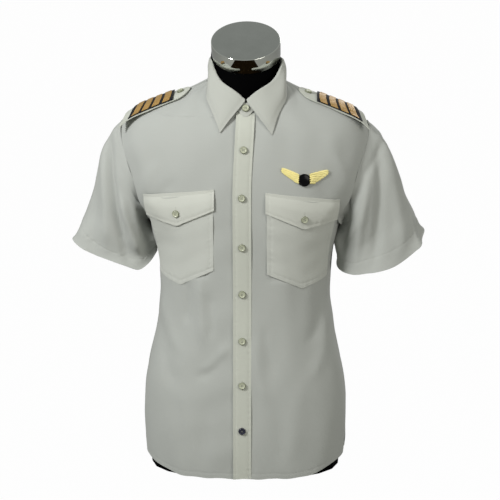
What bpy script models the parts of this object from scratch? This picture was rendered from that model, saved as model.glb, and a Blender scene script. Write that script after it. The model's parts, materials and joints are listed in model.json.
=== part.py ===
"""A short-sleeve pilot shirt, buttoned up on a limbless dress form.

Metres, +Z up. The origin is the middle of the form's flat base. The shirt's front faces -Y and the
wearer's left is +X. Angles go round the body from the middle of the front towards the wearer's left.
"""

import math
from collections import namedtuple
from functools import lru_cache

import bmesh
import bpy
import numpy as np
from mathutils import Matrix, Vector

# Cloth and seams
CLOTH = 0.0014
COLLAR_CLOTH = 0.0013
STAND_CLOTH = 0.0018
SEAM_GAP = 0.0013
TOUCH_GAP = 0.0005
LAYER_GAP = 0.0010
FINE_LAYER = 0.0012

# Heights of the shirt
HEM_FRONT = 0.003
HEM_SIDE_RISE = 0.026
HEM_BLEND = 0.110
ARMPIT = 0.468
SHOULDER_TIP = 0.652
SHOULDER_ROW = 0.6605
NECK_FRONT = 0.669
NECK_SIDE = 0.731
NECK_BACK = 0.748
SEAM_FORWARD = 0.015

# Grid of the panels
BODY_ROWS = 12
ARM_ROWS = 12
YOKE_ARM_ROW = 8
NECK_STEP = 9
NECK_START = 0.0005
FRONT_COLUMNS = 9
BACK_COLUMNS = 16
YOKE_COLUMNS = 16

# Placket and buttons
PLACKET_HALF = 0.0175
FRONT_EDGE = 0.0129
PLACKET_TOP = 0.6675
PLACKET_COLUMNS = 4
BUTTON_TOP = 0.683
BUTTON_FIRST = 0.613
BUTTON_STEP = 0.0872
BUTTON_COUNT = 8
BUTTON_RADIUS = 0.0060
BUTTON_THICK = 0.0028
BUTTON_STEPS = 12
BUTTON_GAP = 0.0008

# Half a button's section, as shares of its radius and thickness
Profile = namedtuple("Profile", "out up")
BUTTON_PROFILE = (
    Profile(0.00, 0.70),
    Profile(0.62, 0.70),
    Profile(0.80, 1.00),
    Profile(1.00, 0.55),
    Profile(0.82, 0.00),
    Profile(0.00, 0.00),
)

# Collar
STAND_TOP_FRONT = 0.6945
STAND_TOP_SIDE = 0.7605
STAND_TOP_BACK = 0.783
STAND_HALF_WIDTH = 0.0642
STAND_FRONT_Y = -0.0865
STAND_BACK_Y = 0.0585
STAND_LAP = 10
STAND_LAP_LIFT = 0.0023
COLLAR_OPENING = 1.3
COLLAR_STEP = 12
COLLAR_BULGE = 0.0035
COLLAR_REST = 0.0024
STAND_FOOT_RISE = 0.0009

# Sleeve
SLEEVE_GAP = 0.0015
SLEEVE_ROWS = 10
SLEEVE_OUTWARD = (0.94, 0.0, -0.34)

# Shoulder strap and board
STRAP_LINE = -0.031
STRAP_FALL = 0.28
STRAP_SLANT = 0.012
STRAP_LIFT = 0.0022
STRAP_WALL = 0.0012
STRAP_HALF = 0.0262
STRAP_COLUMNS = 7
BOARD_OUTER = 0.2145
BOARD_INNER = 0.1335
BOARD_ROWS = 7
BOARD_HALF = 0.0228
BOARD_WALL = 0.0022
BOARD_LIFT = 0.0050
BAR_LIFT = 0.0065
BAR_WALL = 0.0010
BAR_HALF = 0.0222
BAR_STEP = 0.0163
BAR_LENGTH = 0.0119
BAR_FIRST = 0.2035
BAR_COUNT = 4

# Dress form
FORM_CLEAR_LOW = 0.0075
FORM_CLEAR_TOP = 0.0033
FORM_POINTS = 30
FORM_LEVELS = (
    0.000, 0.050, 0.110, 0.170, 0.230, 0.290, 0.350, 0.410, 0.455, 0.500, 0.545,
    0.585, 0.620, 0.640, 0.652, 0.660, 0.675, 0.690, 0.705, 0.719, 0.727,
)
CAP_TILT = 28
CAP_CENTRE = (0.0, -0.020, 0.800)
CAP_HALF_WIDTH = 0.0620
CAP_HALF_DEPTH = 0.0670
CAP_HEIGHT = 0.027
CAP_EDGE = 0.0022
NECK_LOW_CENTRE = (0.0, -0.0170, 0.7045)
NECK_LOW_HALF_DEPTH = 0.0835
NECK_HIGH_HALF_DEPTH = 0.0664
NECK_HALF_WIDTH = 0.0618
NECK_SUNK = 0.45

Section = namedtuple("Section", "height half_width front back centre power")
SECTIONS = (
    Section(0.000, 0.1860, 0.1210, 0.1060, 0.000, 2.35),
    Section(0.060, 0.1910, 0.1240, 0.1110, 0.000, 2.35),
    Section(0.115, 0.1920, 0.1230, 0.1130, 0.000, 2.35),
    Section(0.180, 0.1865, 0.1205, 0.1100, 0.000, 2.35),
    Section(0.250, 0.1700, 0.1165, 0.1030, 0.000, 2.30),
    Section(0.311, 0.1600, 0.1145, 0.0980, 0.000, 2.30),
    Section(0.360, 0.1585, 0.1155, 0.0970, 0.000, 2.30),
    Section(0.400, 0.1615, 0.1180, 0.0990, 0.000, 2.30),
    Section(0.440, 0.1700, 0.1215, 0.1030, 0.000, 2.35),
    Section(0.468, 0.1815, 0.1240, 0.1060, 0.000, 2.40),
    Section(0.510, 0.2060, 0.1262, 0.1100, -0.001, 2.40),
    Section(0.545, 0.2210, 0.1260, 0.1125, -0.002, 2.40),
    Section(0.585, 0.2290, 0.1228, 0.1130, -0.003, 2.35),
    Section(0.620, 0.2318, 0.1170, 0.1105, -0.005, 2.25),
    Section(0.640, 0.2310, 0.1130, 0.1075, -0.006, 2.15),
    Section(0.652, 0.2270, 0.1088, 0.1045, -0.007, 2.10),
    Section(0.663, 0.2175, 0.1032, 0.1010, -0.008, 2.05),
    Section(0.672, 0.2040, 0.0974, 0.0980, -0.008, 2.00),
    Section(0.685, 0.1740, 0.0890, 0.0935, -0.008, 2.00),
    Section(0.698, 0.1400, 0.0810, 0.0885, -0.008, 2.00),
    Section(0.711, 0.1065, 0.0720, 0.0815, -0.008, 2.00),
    Section(0.721, 0.0850, 0.0625, 0.0755, -0.008, 2.00),
    Section(0.731, 0.0665, 0.0520, 0.0690, -0.008, 2.00),
    Section(0.748, 0.0620, 0.0480, 0.0590, -0.008, 2.00),
)

# How far the armhole seam lies in front of and behind the side of the body, in degrees
Armhole = namedtuple("Armhole", "height before behind")
ARMHOLE = (
    Armhole(0.468, 0.0, 0.0),
    Armhole(0.4715, 9.0, 9.0),
    Armhole(0.480, 14.5, 14.5),
    Armhole(0.514, 18.0, 19.0),
    Armhole(0.560, 17.0, 19.0),
    Armhole(0.606, 11.0, 13.5),
    Armhole(0.640, 5.6, 7.2),
    Armhole(0.652, 3.8, 4.4),
)

# Soft folds of the body: where each lies, how far it reaches along and across, how deep, how it leans
Fold = namedtuple("Fold", "angle height along across depth lean")
BODY_FOLDS = (
    Fold(-37, 0.300, 0.075, 0.013, 0.0024, 0.10),
    Fold(-52, 0.290, 0.090, 0.015, -0.0026, 0.16),
    Fold(-24, 0.270, 0.060, 0.012, -0.0016, -0.10),
    Fold(38, 0.290, 0.080, 0.014, 0.0022, -0.12),
    Fold(55, 0.300, 0.080, 0.016, -0.0024, -0.10),
    Fold(15, 0.235, 0.045, 0.010, 0.0014, -0.55),
    Fold(-70, 0.200, 0.100, 0.020, 0.0026, 0.05),
    Fold(72, 0.210, 0.110, 0.020, 0.0024, -0.05),
    Fold(62, 0.520, 0.045, 0.014, 0.0022, 0.45),
    Fold(-62, 0.520, 0.045, 0.014, 0.0022, -0.45),
    Fold(112, 0.300, 0.110, 0.018, 0.0034, 0.12),
    Fold(134, 0.330, 0.120, 0.020, -0.0030, 0.06),
    Fold(158, 0.290, 0.130, 0.018, 0.0030, -0.03),
    Fold(185, 0.310, 0.120, 0.020, -0.0026, 0.02),
    Fold(209, 0.300, 0.110, 0.018, 0.0032, 0.05),
    Fold(232, 0.320, 0.120, 0.020, -0.0028, -0.08),
    Fold(250, 0.290, 0.100, 0.018, 0.0030, -0.12),
)

# Cuff of each short sleeve, seen from the wearer's left side outwards
Sleeve = namedtuple("Sleeve", "name side outer_x outer_z inner_x inner_z front_y front_drop")
SLEEVES = (
    Sleeve("left", 1, 0.3330, 0.4370, 0.1790, 0.3950, 0.046, 0.024),
    Sleeve("right", -1, 0.3230, 0.4340, 0.1770, 0.4000, 0.046, 0.022),
)
CUFF_CENTRE_Y = -0.004

# How the sleeve leaves the armhole and how it comes to the cuff, at the underarm and over the top
UNDERARM_LEAD = (0.004, 0.0, -0.034)
TOP_LEAD = (0.045, 0.0, -0.022)
UNDERARM_TAIL = (0.001, 0.0, 0.025)
TOP_TAIL = (-0.034, 0.0, 0.083)

# Long folds of the sleeve: place round the cuff in degrees from the underarm, width, depth
SleeveFold = namedtuple("SleeveFold", "turn spread depth start")
SLEEVE_FOLDS = {
    "left": (
        SleeveFold(62, 15, -0.0060, 0.30),
        SleeveFold(92, 16, 0.0050, 0.15),
        SleeveFold(122, 13, -0.0045, 0.25),
        SleeveFold(150, 14, 0.0040, 0.10),
        SleeveFold(222, 15, -0.0045, 0.20),
        SleeveFold(256, 16, 0.0045, 0.25),
        SleeveFold(292, 15, -0.0045, 0.30),
    ),
    "right": (
        SleeveFold(52, 14, -0.0050, 0.35),
        SleeveFold(80, 14, 0.0050, 0.20),
        SleeveFold(106, 12, -0.0055, 0.15),
        SleeveFold(134, 14, 0.0050, 0.10),
        SleeveFold(160, 12, -0.0030, 0.20),
        SleeveFold(216, 15, 0.0040, 0.20),
        SleeveFold(250, 15, -0.0045, 0.25),
        SleeveFold(286, 15, 0.0040, 0.30),
    ),
}

# Lower edge of the collar leaf against its fold, both as angles round the neck
CollarEdge = namedtuple("CollarEdge", "fold edge height")
COLLAR_EDGE = (
    CollarEdge(0, 23.0, 0.6410),
    CollarEdge(14, 27.0, 0.6560),
    CollarEdge(30, 35.5, 0.6770),
    CollarEdge(52, 53.0, 0.7000),
    CollarEdge(72, 72.0, 0.7185),
    CollarEdge(90, 90.0, 0.7265),
    CollarEdge(130, 130.0, 0.7345),
    CollarEdge(180, 180.0, 0.7390),
)
COLLAR_TIP_SHIFT = 1.5

# The leaf's fold over the top of the stand, from outside over to the inside: how far out, how far up
Roll = namedtuple("Roll", "out up")
COLLAR_ROLL = (
    Roll(0.0062, 0.0024),
    Roll(0.0052, 0.0046),
    Roll(0.0026, 0.0056),
    Roll(0.0000, 0.0044),
    Roll(-0.0007, 0.0008),
)
LEAF_SHARES = (0.0, 0.2, 0.45, 0.7, 0.9)

# Patch pocket and its pointed flap, as heights at the placket side, the point and the outer side
Pocket = namedtuple(
    "Pocket",
    "name side inner_x width top_in top_out flap_in flap_out flap_tip low_in low_out low_tip",
)
POCKETS = (
    Pocket("right", -1, 0.0515, 0.134, 0.543, 0.528, 0.506, 0.490, 0.4755, 0.394, 0.378, 0.362),
    Pocket("left", 1, 0.0440, 0.134, 0.538, 0.521, 0.501, 0.484, 0.4710, 0.388, 0.374, 0.358),
)
FLAP_OVERHANG = 0.0022
POCKET_GAP = 0.0014
FLAP_LIFT = 0.0053
POCKET_UNDER_FLAP = 0.007
FLAP_BUTTON_SHARE = 0.16
POCKET_COLUMNS = 10
POCKET_ROWS = 8
FLAP_ROWS = 4

# Shoulder strap: half width along it, from the sleeve seam to the tip by the collar
Strap = namedtuple("Strap", "reach half")
STRAP_OUTLINE = (
    Strap(0.2245, 0.0262),
    Strap(0.1250, 0.0236),
    Strap(0.1130, 0.0215),
    Strap(0.1030, 0.0140),
    Strap(0.0975, 0.0050),
)
STRAP_BUTTON_REACH = 0.1145

# Winged pin above the wearer's left pocket
BADGE_X = 0.1100
BADGE_Z = 0.5600
DISC_RADIUS = 0.0110
DISC_THICK = 0.0034
DISC_EDGE = 0.0008
WING_WALL = 0.0016
WING_RIDGE = 0.0006
WING_SHARES = (0.0, 0.34, 0.67, 1.0)
Feather = namedtuple("Feather", "reach top bottom")
WING = (
    Feather(0.0118, 0.0030, -0.0070),
    Feather(0.0170, 0.0062, -0.0066),
    Feather(0.0230, 0.0096, -0.0030),
    Feather(0.0300, 0.0128, 0.0020),
    Feather(0.0370, 0.0152, 0.0072),
    Feather(0.0435, 0.0166, 0.0128),
)

# How far in from the shirt's own side the form's shoulder ends
Stump = namedtuple("Stump", "height half_width")
STUMPS = (
    Stump(0.455, 0.1700),
    Stump(0.510, 0.1830),
    Stump(0.560, 0.1960),
    Stump(0.610, 0.2080),
    Stump(0.640, 0.2125),
    Stump(0.652, 0.2110),
    Stump(0.660, 0.2055),
    Stump(0.675, 0.1890),
)

Finish = namedtuple("Finish", "colour roughness metallic")
FINISHES = {
    "shirt_cloth": Finish((0.56, 0.61, 0.58), 0.85, 0.0),
    "shirt_button": Finish((0.62, 0.70, 0.65), 0.30, 0.0),
    "dark_button": Finish((0.03, 0.03, 0.03), 0.30, 0.0),
    "board_cloth": Finish((0.012, 0.012, 0.014), 0.80, 0.0),
    "gold_braid": Finish((0.75, 0.52, 0.18), 0.45, 0.7),
    "gold_metal": Finish((0.85, 0.62, 0.20), 0.25, 1.0),
    "dark_enamel": Finish((0.010, 0.010, 0.012), 0.20, 0.0),
    "form_black": Finish((0.010, 0.010, 0.010), 0.45, 0.0),
    "cap_chrome": Finish((0.75, 0.76, 0.74), 0.12, 1.0),
}


def clear_scene():
    for item in list(bpy.data.objects):
        bpy.data.objects.remove(item, do_unlink=True)


def new_collection(name):
    group = bpy.data.collections.new(name)
    bpy.context.scene.collection.children.link(group)
    return group


def finish(name):
    """The material of one finish, made the first time it is asked for."""
    material = bpy.data.materials.get(name)
    if material:
        return material
    look = FINISHES[name]
    material = bpy.data.materials.new(name)
    material.use_nodes = True
    shader = material.node_tree.nodes["Principled BSDF"]
    shader.inputs["Base Color"].default_value = (*look.colour, 1.0)
    shader.inputs["Roughness"].default_value = look.roughness
    shader.inputs["Metallic"].default_value = look.metallic
    return material


@lru_cache(maxsize=None)
def slopes(rows, column):
    keys = [row[0] for row in rows]
    return tuple(np.gradient([getattr(row, column) for row in rows], keys))


def smooth(rows, column, value):
    """One column of a table at a value of its first column, on a smooth curve through the rows."""
    keys = [row[0] for row in rows]
    value = min(max(value, keys[0]), keys[-1])
    k = min(int(np.searchsorted(keys, value, side="right")), len(keys) - 1)
    low, high = getattr(rows[k - 1], column), getattr(rows[k], column)
    span = keys[k] - keys[k - 1]
    t = (value - keys[k - 1]) / span
    rate = slopes(rows, column)
    ease = t * t * (3 - 2 * t)
    start = t * (1 - t) ** 2 * span * rate[k - 1]
    end = t * t * (1 - t) * span * rate[k]
    return low + (high - low) * ease + start - end


def blend(low, high, t):
    return low + (high - low) * t


def soft_step(value, low, high):
    t = min(max((value - low) / (high - low), 0.0), 1.0)
    return t * t * (3 - 2 * t)


@lru_cache(maxsize=None)
def section(height):
    return Section(height, *(smooth(SECTIONS, name, height) for name in Section._fields[1:]))


def radius(angle, cut):
    """How far the body reaches from its centre line at an angle, on one horizontal section."""
    across = abs(math.sin(angle)) / cut.half_width
    reach = cut.front + cut.centre if math.cos(angle) > 0 else cut.back - cut.centre
    along = abs(math.cos(angle)) / reach
    return (across**cut.power + along**cut.power) ** (-1 / cut.power)


def place(angle, height):
    """A point of the plain body surface, which is the outer face of the shirt's panels."""
    cut = section(height)
    reach = radius(angle, cut)
    return Vector((reach * math.sin(angle), cut.centre - reach * math.cos(angle), height))


def outward(angle, height):
    turn, rise = 0.02, 0.003
    across = place(angle + turn, height) - place(angle - turn, height)
    up = place(angle, height + rise) - place(angle, height - rise)
    return across.cross(up).normalized()


def fold_height(angle, height):
    """How far the soft folds move the cloth out or in at a point."""
    total = 0.0
    reach = radius(angle, section(height))
    for fold in BODY_FOLDS:
        rise = height - fold.height
        turn = math.radians(fold.angle)
        round_body = math.remainder(angle - turn, 2 * math.pi) * reach - fold.lean * rise
        total += fold.depth * math.exp(-((round_body / fold.across) ** 2) - (rise / fold.along) ** 2)
    return total


def on_body(angle, height, lift=0.0):
    """A point of the folded shirt, moved out from the panels' outer face by lift."""
    return place(angle, height) + outward(angle, height) * (lift + fold_height(angle, height))


def angle_at(x, height):
    """The angle at which the front of the body reaches a distance x from the middle."""
    cut = section(height)
    low, high = 0.0, math.radians(80)
    for _ in range(30):
        middle = (low + high) / 2
        if radius(middle, cut) * math.sin(middle) < abs(x):
            low = middle
        else:
            high = middle
    return math.copysign(low, x)


def angle_after(x, height, run):
    """The angle reached after walking a length of cloth round the body from x."""
    start = angle_at(x, height)
    turns = np.linspace(start, math.radians(100), 120)
    points = [place(turn, height) for turn in turns]
    steps = [0.0] + [(b - a).length for a, b in zip(points, points[1:])]
    return float(np.interp(run, np.cumsum(steps), turns))


def shoulder_height(x, y):
    """The height of the shoulder over a point of the plan."""
    low, high = 0.600, NECK_BACK
    for _ in range(30):
        middle = (low + high) / 2
        cut = section(middle)
        angle = math.atan2(x, cut.centre - y)
        if radius(angle, cut) > math.hypot(x, y - cut.centre):
            low = middle
        else:
            high = middle
    return low


def strap_ground(x, y):
    """What a shoulder strap lies on: the shoulder, bridged where the armhole falls away under it."""
    ridge = section(SHOULDER_TIP).centre
    return max(shoulder_height(x, y), shoulder_height(x, ridge) - STRAP_FALL * abs(y - ridge))


def on_shoulder(x, y, lift):
    """A point above the shoulder, moved square out from what the strap lies on by lift."""
    near = 0.004
    slope_x = (strap_ground(x + near, y) - strap_ground(x - near, y)) / (2 * near)
    slope_y = (strap_ground(x, y + near) - strap_ground(x, y - near)) / (2 * near)
    return Vector((x, y, strap_ground(x, y))) + shoulder_way(slope_x, slope_y) * lift


def shoulder_way(slope_x, slope_y):
    return Vector((-slope_x, -slope_y, 1.0)).normalized()


def rows_mesh(name, rows, closed=False):
    """A mesh from rows of points, each row as long as the next."""
    mesh = bpy.data.meshes.new(name)
    count = len(rows[0])
    points = [point for row in rows for point in row]
    columns = count if closed else count - 1
    faces = []
    for r in range(len(rows) - 1):
        for c in range(columns):
            d = (c + 1) % count
            faces.append((r * count + c, r * count + d, (r + 1) * count + d, (r + 1) * count + c))
    mesh.from_pydata(points, [], faces)
    mesh.update()
    return mesh


def add_object(name, mesh, look, group, smooth_angle=40):
    """A named object in the shirt's collection, with its own finish and smooth shading."""
    piece = bpy.data.objects.new(name, mesh)
    group.objects.link(piece)
    mesh.materials.append(finish(look))
    mesh.shade_smooth()
    mesh.set_sharp_from_angle(angle=math.radians(smooth_angle))
    return piece


def cloth_object(name, rows, group, wall=CLOTH, closed=False, look="shirt_cloth"):
    """A piece of cloth: its outer face as rows of points, given its thickness inwards."""
    piece = add_object(name, rows_mesh(name, rows, closed), look, group)
    shell = piece.modifiers.new("cloth", "SOLIDIFY")
    shell.thickness = wall
    shell.offset = -1
    shell.use_even_offset = True
    return piece


def arm_levels():
    span = SHOULDER_TIP - ARMPIT
    return [ARMPIT + span * (1 - math.cos(math.pi * k / ARM_ROWS)) / 2 for k in range(ARM_ROWS + 1)]


def body_levels():
    return list(np.linspace(HEM_FRONT, ARMPIT, BODY_ROWS + 1))[:-1]


def neck_height(angle):
    """Height of the neckline: it rises from the front to the side and a little more to the back."""
    angle = abs(math.remainder(angle, 2 * math.pi))
    if angle < math.pi / 2:
        return NECK_FRONT + (NECK_SIDE - NECK_FRONT) * math.sin(angle)
    return NECK_SIDE + (NECK_BACK - NECK_SIDE) * math.sin(angle - math.pi / 2) ** 2


def hem_height(angle, height):
    """Lifts the lowest rows at the sides, so that the hem curves up to the side seams."""
    rise = HEM_SIDE_RISE * math.sin(angle) ** 4
    return height + rise * max(0.0, 1 - (height - HEM_FRONT) / HEM_BLEND)


def armhole_before(height):
    return math.radians(90 - smooth(ARMHOLE, "before", height))


def armhole_behind(height):
    return math.radians(90 + smooth(ARMHOLE, "behind", height))


def shoulder_seam(height):
    """The seam of front and yoke, which runs just before the top of the shoulder."""
    return math.pi / 2 - math.atan(SEAM_FORWARD / section(height).half_width)


def seam(angle, height, way):
    """An angle moved half a seam's gap along the body."""
    return angle + way * SEAM_GAP / 2 / radius(angle, section(height))


def panel_row(low, high, height, columns, lift=0.0):
    row = []
    for angle in np.linspace(low, high, columns):
        row.append(on_body(angle, hem_height(angle, height), lift))
    return row


def front_levels():
    """Rows of a front: up to the armpit, up the armhole, the neckline's start, then up the neckline."""
    neck = [neck_height(math.radians(NECK_STEP * k)) for k in range(1, 9)]
    return body_levels() + arm_levels() + [SHOULDER_ROW, NECK_FRONT, NECK_FRONT + NECK_START] + neck


def front_panel(side):
    """One front, from the side seam, armhole and shoulder seam to its edge under the placket."""
    rows = []
    for height in front_levels():
        if height > SHOULDER_TIP:
            outer = shoulder_seam(height)
        elif height > ARMPIT:
            outer = min(armhole_before(height), shoulder_seam(height))
        else:
            outer = math.pi / 2
        inner = seam(angle_at(side * FRONT_EDGE, height), height, 1)
        if height > NECK_FRONT:
            rise = (height - NECK_FRONT) / (NECK_SIDE - NECK_FRONT)
            inner = max(inner, math.asin(rise))
        low, high = sorted((side * inner, side * seam(outer, height, -1)))
        rows.append(panel_row(low, high, height, FRONT_COLUMNS))
    return rows


def back_panel():
    rows = []
    for height in body_levels() + arm_levels()[: YOKE_ARM_ROW + 1]:
        start = armhole_behind(height) if height > ARMPIT else math.pi / 2
        low = seam(start, height, 1)
        level = height - SEAM_GAP if height == arm_levels()[YOKE_ARM_ROW] else height
        rows.append(panel_row(low, 2 * math.pi - low, level, BACK_COLUMNS))
    return rows


def yoke_panel():
    """The yoke, from its seam across the back up over the shoulders to the neckline."""
    neck = [SHOULDER_ROW, NECK_FRONT] + [neck_height(math.radians(NECK_STEP * k)) for k in range(1, 11)]
    collar = [neck_height(math.radians(a)) for a in (108, 126, 144, 162)]
    rows = []
    for height in arm_levels()[YOKE_ARM_ROW:] + neck + collar:
        if height < SHOULDER_TIP:
            low = armhole_behind(height)
        elif height < NECK_SIDE:
            low = shoulder_seam(height)
            low = max(low, math.asin(max(0.0, (height - NECK_FRONT) / (NECK_SIDE - NECK_FRONT))))
        else:
            rise = (height - NECK_SIDE) / (NECK_BACK - NECK_SIDE)
            low = math.pi / 2 + math.asin(math.sqrt(max(0.0, rise)))
        low = seam(low, height, 1)
        rows.append(panel_row(low, 2 * math.pi - low, height, YOKE_COLUMNS))
    return rows


def placket():
    """The strip down the front, moved out from the edges of both fronts."""
    levels = [height for height in front_levels() if height < SHOULDER_ROW] + [SHOULDER_ROW, PLACKET_TOP]
    rows = []
    for height in levels:
        edge = angle_at(PLACKET_HALF, height)
        rows.append(panel_row(-edge, edge, height, PLACKET_COLUMNS, LAYER_GAP + CLOTH))
    return rows


def armhole_loop():
    """The armhole seam as angles and heights: underarm, up the front, over the top, down the back."""
    levels = arm_levels()
    up = [(armhole_before(height), height) for height in levels[1:]]
    down = [(armhole_behind(height), height) for height in reversed(levels[1:])]
    return [(math.pi / 2, ARMPIT)] + up + [(math.pi / 2, SHOULDER_TIP)] + down


def sleeve_rows(cut):
    """The sleeve's outer face, from the armhole to the cuff."""
    out = Vector(SLEEVE_OUTWARD)
    start = [on_body(angle, height) + out * SLEEVE_GAP for angle, height in armhole_loop()]
    steps = [(b - a).length for a, b in zip(start, start[1:] + start[:1])]
    reach = np.concatenate(([0.0], np.cumsum(steps)))
    top = len(start) // 2
    half = reach[top]
    turns = [math.pi * r / half if r <= half else math.pi * (1 + (r - half) / (reach[-1] - half))
             for r in reach[:-1]]
    centre = Vector((cut.outer_x + cut.inner_x, 0.0, cut.outer_z + cut.inner_z)) / 2
    centre.y = CUFF_CENTRE_Y
    across = Vector((cut.outer_x - cut.inner_x, 0.0, cut.outer_z - cut.inner_z)) / 2
    forward = Vector((0.0, -cut.front_y, -cut.front_drop))
    rows = []
    for k in range(SLEEVE_ROWS + 1):
        t = k / SLEEVE_ROWS
        row = []
        for turn, first in zip(turns, start):
            over = (1 - math.cos(turn)) / 2
            last = centre - across * math.cos(turn) + forward * math.sin(turn)
            lead = first + Vector(UNDERARM_LEAD).lerp(Vector(TOP_LEAD), over)
            tail = last + Vector(UNDERARM_TAIL).lerp(Vector(TOP_TAIL), over)
            point = first * (1 - t) ** 3 + lead * 3 * t * (1 - t) ** 2
            point += tail * 3 * t * t * (1 - t) + last * t**3
            push = forward.normalized() * math.sin(turn) - across.normalized() * math.cos(turn)
            point += push * sleeve_fold(cut.name, math.degrees(turn), t)
            row.append(point)
        rows.append(row)
    if cut.side < 0:
        rows = [[Vector((-p.x, p.y, p.z)) for p in row] for row in rows]
        return rows
    return [list(reversed(row)) for row in rows]


def sleeve_fold(name, turn, t):
    total = 0.0
    for fold in SLEEVE_FOLDS[name]:
        apart = math.remainder(turn - fold.turn, 360)
        total += fold.depth * math.exp(-((apart / fold.spread) ** 2)) * soft_step(t, fold.start, 0.95)
    return total


def stand_ring(angle):
    """The top of the collar stand: a flat oval in plan that rises towards the back."""
    middle = (STAND_FRONT_Y + STAND_BACK_Y) / 2
    depth = (STAND_BACK_Y - STAND_FRONT_Y) / 2
    across = math.sin(angle) * STAND_HALF_WIDTH
    along = middle - math.cos(angle) * depth
    turn = abs(math.remainder(angle, 2 * math.pi))
    if turn < math.pi / 2:
        height = STAND_TOP_FRONT + (STAND_TOP_SIDE - STAND_TOP_FRONT) * math.sin(turn)
    else:
        rise = math.sin(turn - math.pi / 2) ** 2
        height = STAND_TOP_SIDE + (STAND_TOP_BACK - STAND_TOP_SIDE) * rise
    way = Vector((math.sin(angle) / STAND_HALF_WIDTH, -math.cos(angle) / depth, 0.0)).normalized()
    return Vector((across, along, height)), way


def stand_lift(angle):
    """The wearer's left end of the stand laps over the right end."""
    degrees = math.degrees(angle)
    return STAND_LAP_LIFT * (1 - soft_step(degrees, STAND_LAP + 3, STAND_LAP + 20))


def collar_stand():
    degrees = [-STAND_LAP] + list(range(0, 361, NECK_STEP)) + [360 + STAND_LAP]
    rows = []
    for t in (0.0, 0.35, 0.7, 1.0):
        row = []
        for angle in (math.radians(d) for d in degrees):
            foot = on_body(angle, neck_height(angle)) + Vector((0.0, 0.0, STAND_FOOT_RISE))
            head, way = stand_ring(angle)
            lift = way * stand_lift(angle)
            row.append(foot.lerp(head + way * STAND_CLOTH / 2, t) + lift)
        rows.append(row)
    return rows


def collar_leaf():
    """The leaf: up from the stand, over the fold and down to its edge, listed from the edge up."""
    angles = [COLLAR_OPENING] + list(range(COLLAR_STEP, 360, COLLAR_STEP)) + [360 - COLLAR_OPENING]
    rise = Vector((0.0, 0.0, 1.0))
    columns = []
    for degrees in angles:
        turn = degrees if degrees <= 180 else 360 - degrees
        side = 1 if degrees <= 180 else -1
        head, way = stand_ring(math.radians(degrees))
        tip = COLLAR_TIP_SHIFT * (1 - soft_step(turn, 0, 60)) * side
        edge_angle = math.radians(side * smooth(COLLAR_EDGE, "edge", turn) + tip)
        edge = on_body(edge_angle, smooth(COLLAR_EDGE, "height", turn), COLLAR_REST)
        over = head + way * COLLAR_ROLL[0].out + rise * COLLAR_ROLL[0].up
        column = []
        for t in LEAF_SHARES:
            out = (way + outward(edge_angle, edge.z)).normalized()
            column.append(edge.lerp(over, t) + out * COLLAR_BULGE * math.sin(math.pi * t))
        column += [head + way * roll.out + rise * roll.up for roll in COLLAR_ROLL]
        columns.append(column)
    return [list(row) for row in zip(*columns)]


def pocket_patch(cut, width, start, top, bottom, rows, lift):
    """A patch laid on a front: columns walk round the body, rows go from its foot to its top."""
    result = []
    for v in np.linspace(0, 1, rows):
        row = []
        for u in np.linspace(0, 1, POCKET_COLUMNS + 1):
            height = blend(bottom(u), top(u), v)
            angle = angle_after(cut.inner_x + start, height, u * width)
            row.append(on_body(cut.side * angle, height, lift))
        result.append(row if cut.side > 0 else list(reversed(row)))
    return result


def pointed(inner, tip, outer):
    """The height of a pointed lower edge at a share of the width."""
    def height(u):
        return blend(inner, tip, u * 2) if u < 0.5 else blend(tip, outer, u * 2 - 1)
    return height


def add_pocket(cut, group):
    top = pointed(cut.top_in, (cut.top_in + cut.top_out) / 2, cut.top_out)
    foot = pointed(cut.low_in, cut.low_tip, cut.low_out)
    flap_foot = pointed(cut.flap_in, cut.flap_tip, cut.flap_out)

    def pocket_top(u):
        return top(u) - POCKET_UNDER_FLAP

    bag = pocket_patch(cut, cut.width, 0.0, pocket_top, foot, POCKET_ROWS, POCKET_GAP + FINE_LAYER)
    cloth_object("pocket_" + cut.name, bag, group, FINE_LAYER)
    wide = cut.width + 2 * FLAP_OVERHANG
    flap = pocket_patch(cut, wide, -FLAP_OVERHANG, top, flap_foot, FLAP_ROWS, FLAP_LIFT)
    cloth_object("pocket_flap_" + cut.name, flap, group, CLOTH)
    button_height = blend(cut.flap_tip, top(0.5), FLAP_BUTTON_SHARE)
    angle = cut.side * angle_after(cut.inner_x, button_height, cut.width / 2)
    add_button(
        "pocket_button_" + cut.name,
        on_body(angle, button_height, FLAP_LIFT + TOUCH_GAP),
        outward(angle, button_height),
        group,
    )


def button_mesh(name, look):
    """Half a button's profile, for turning: a dished face inside a rounded rim."""
    mesh = bpy.data.meshes.new(name)
    points = [(BUTTON_RADIUS * cut.out, 0.0, BUTTON_THICK * cut.up) for cut in BUTTON_PROFILE]
    mesh.from_pydata(points, [(k, k + 1) for k in range(len(points) - 1)], [])
    mesh.materials.append(finish(look))
    return mesh


def add_button(name, spot, way, group, look="shirt_button"):
    mesh = button_mesh(name, look)
    piece = bpy.data.objects.new(name, mesh)
    group.objects.link(piece)
    piece.location = spot
    piece.rotation_mode = "QUATERNION"
    piece.rotation_quaternion = way.to_track_quat("Z", "Y")
    turn = piece.modifiers.new("turned", "SCREW")
    turn.steps = BUTTON_STEPS
    turn.render_steps = BUTTON_STEPS
    turn.use_merge_vertices = True
    turn.merge_threshold = 0.0001
    turn.use_smooth_shade = True
    return piece


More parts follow.
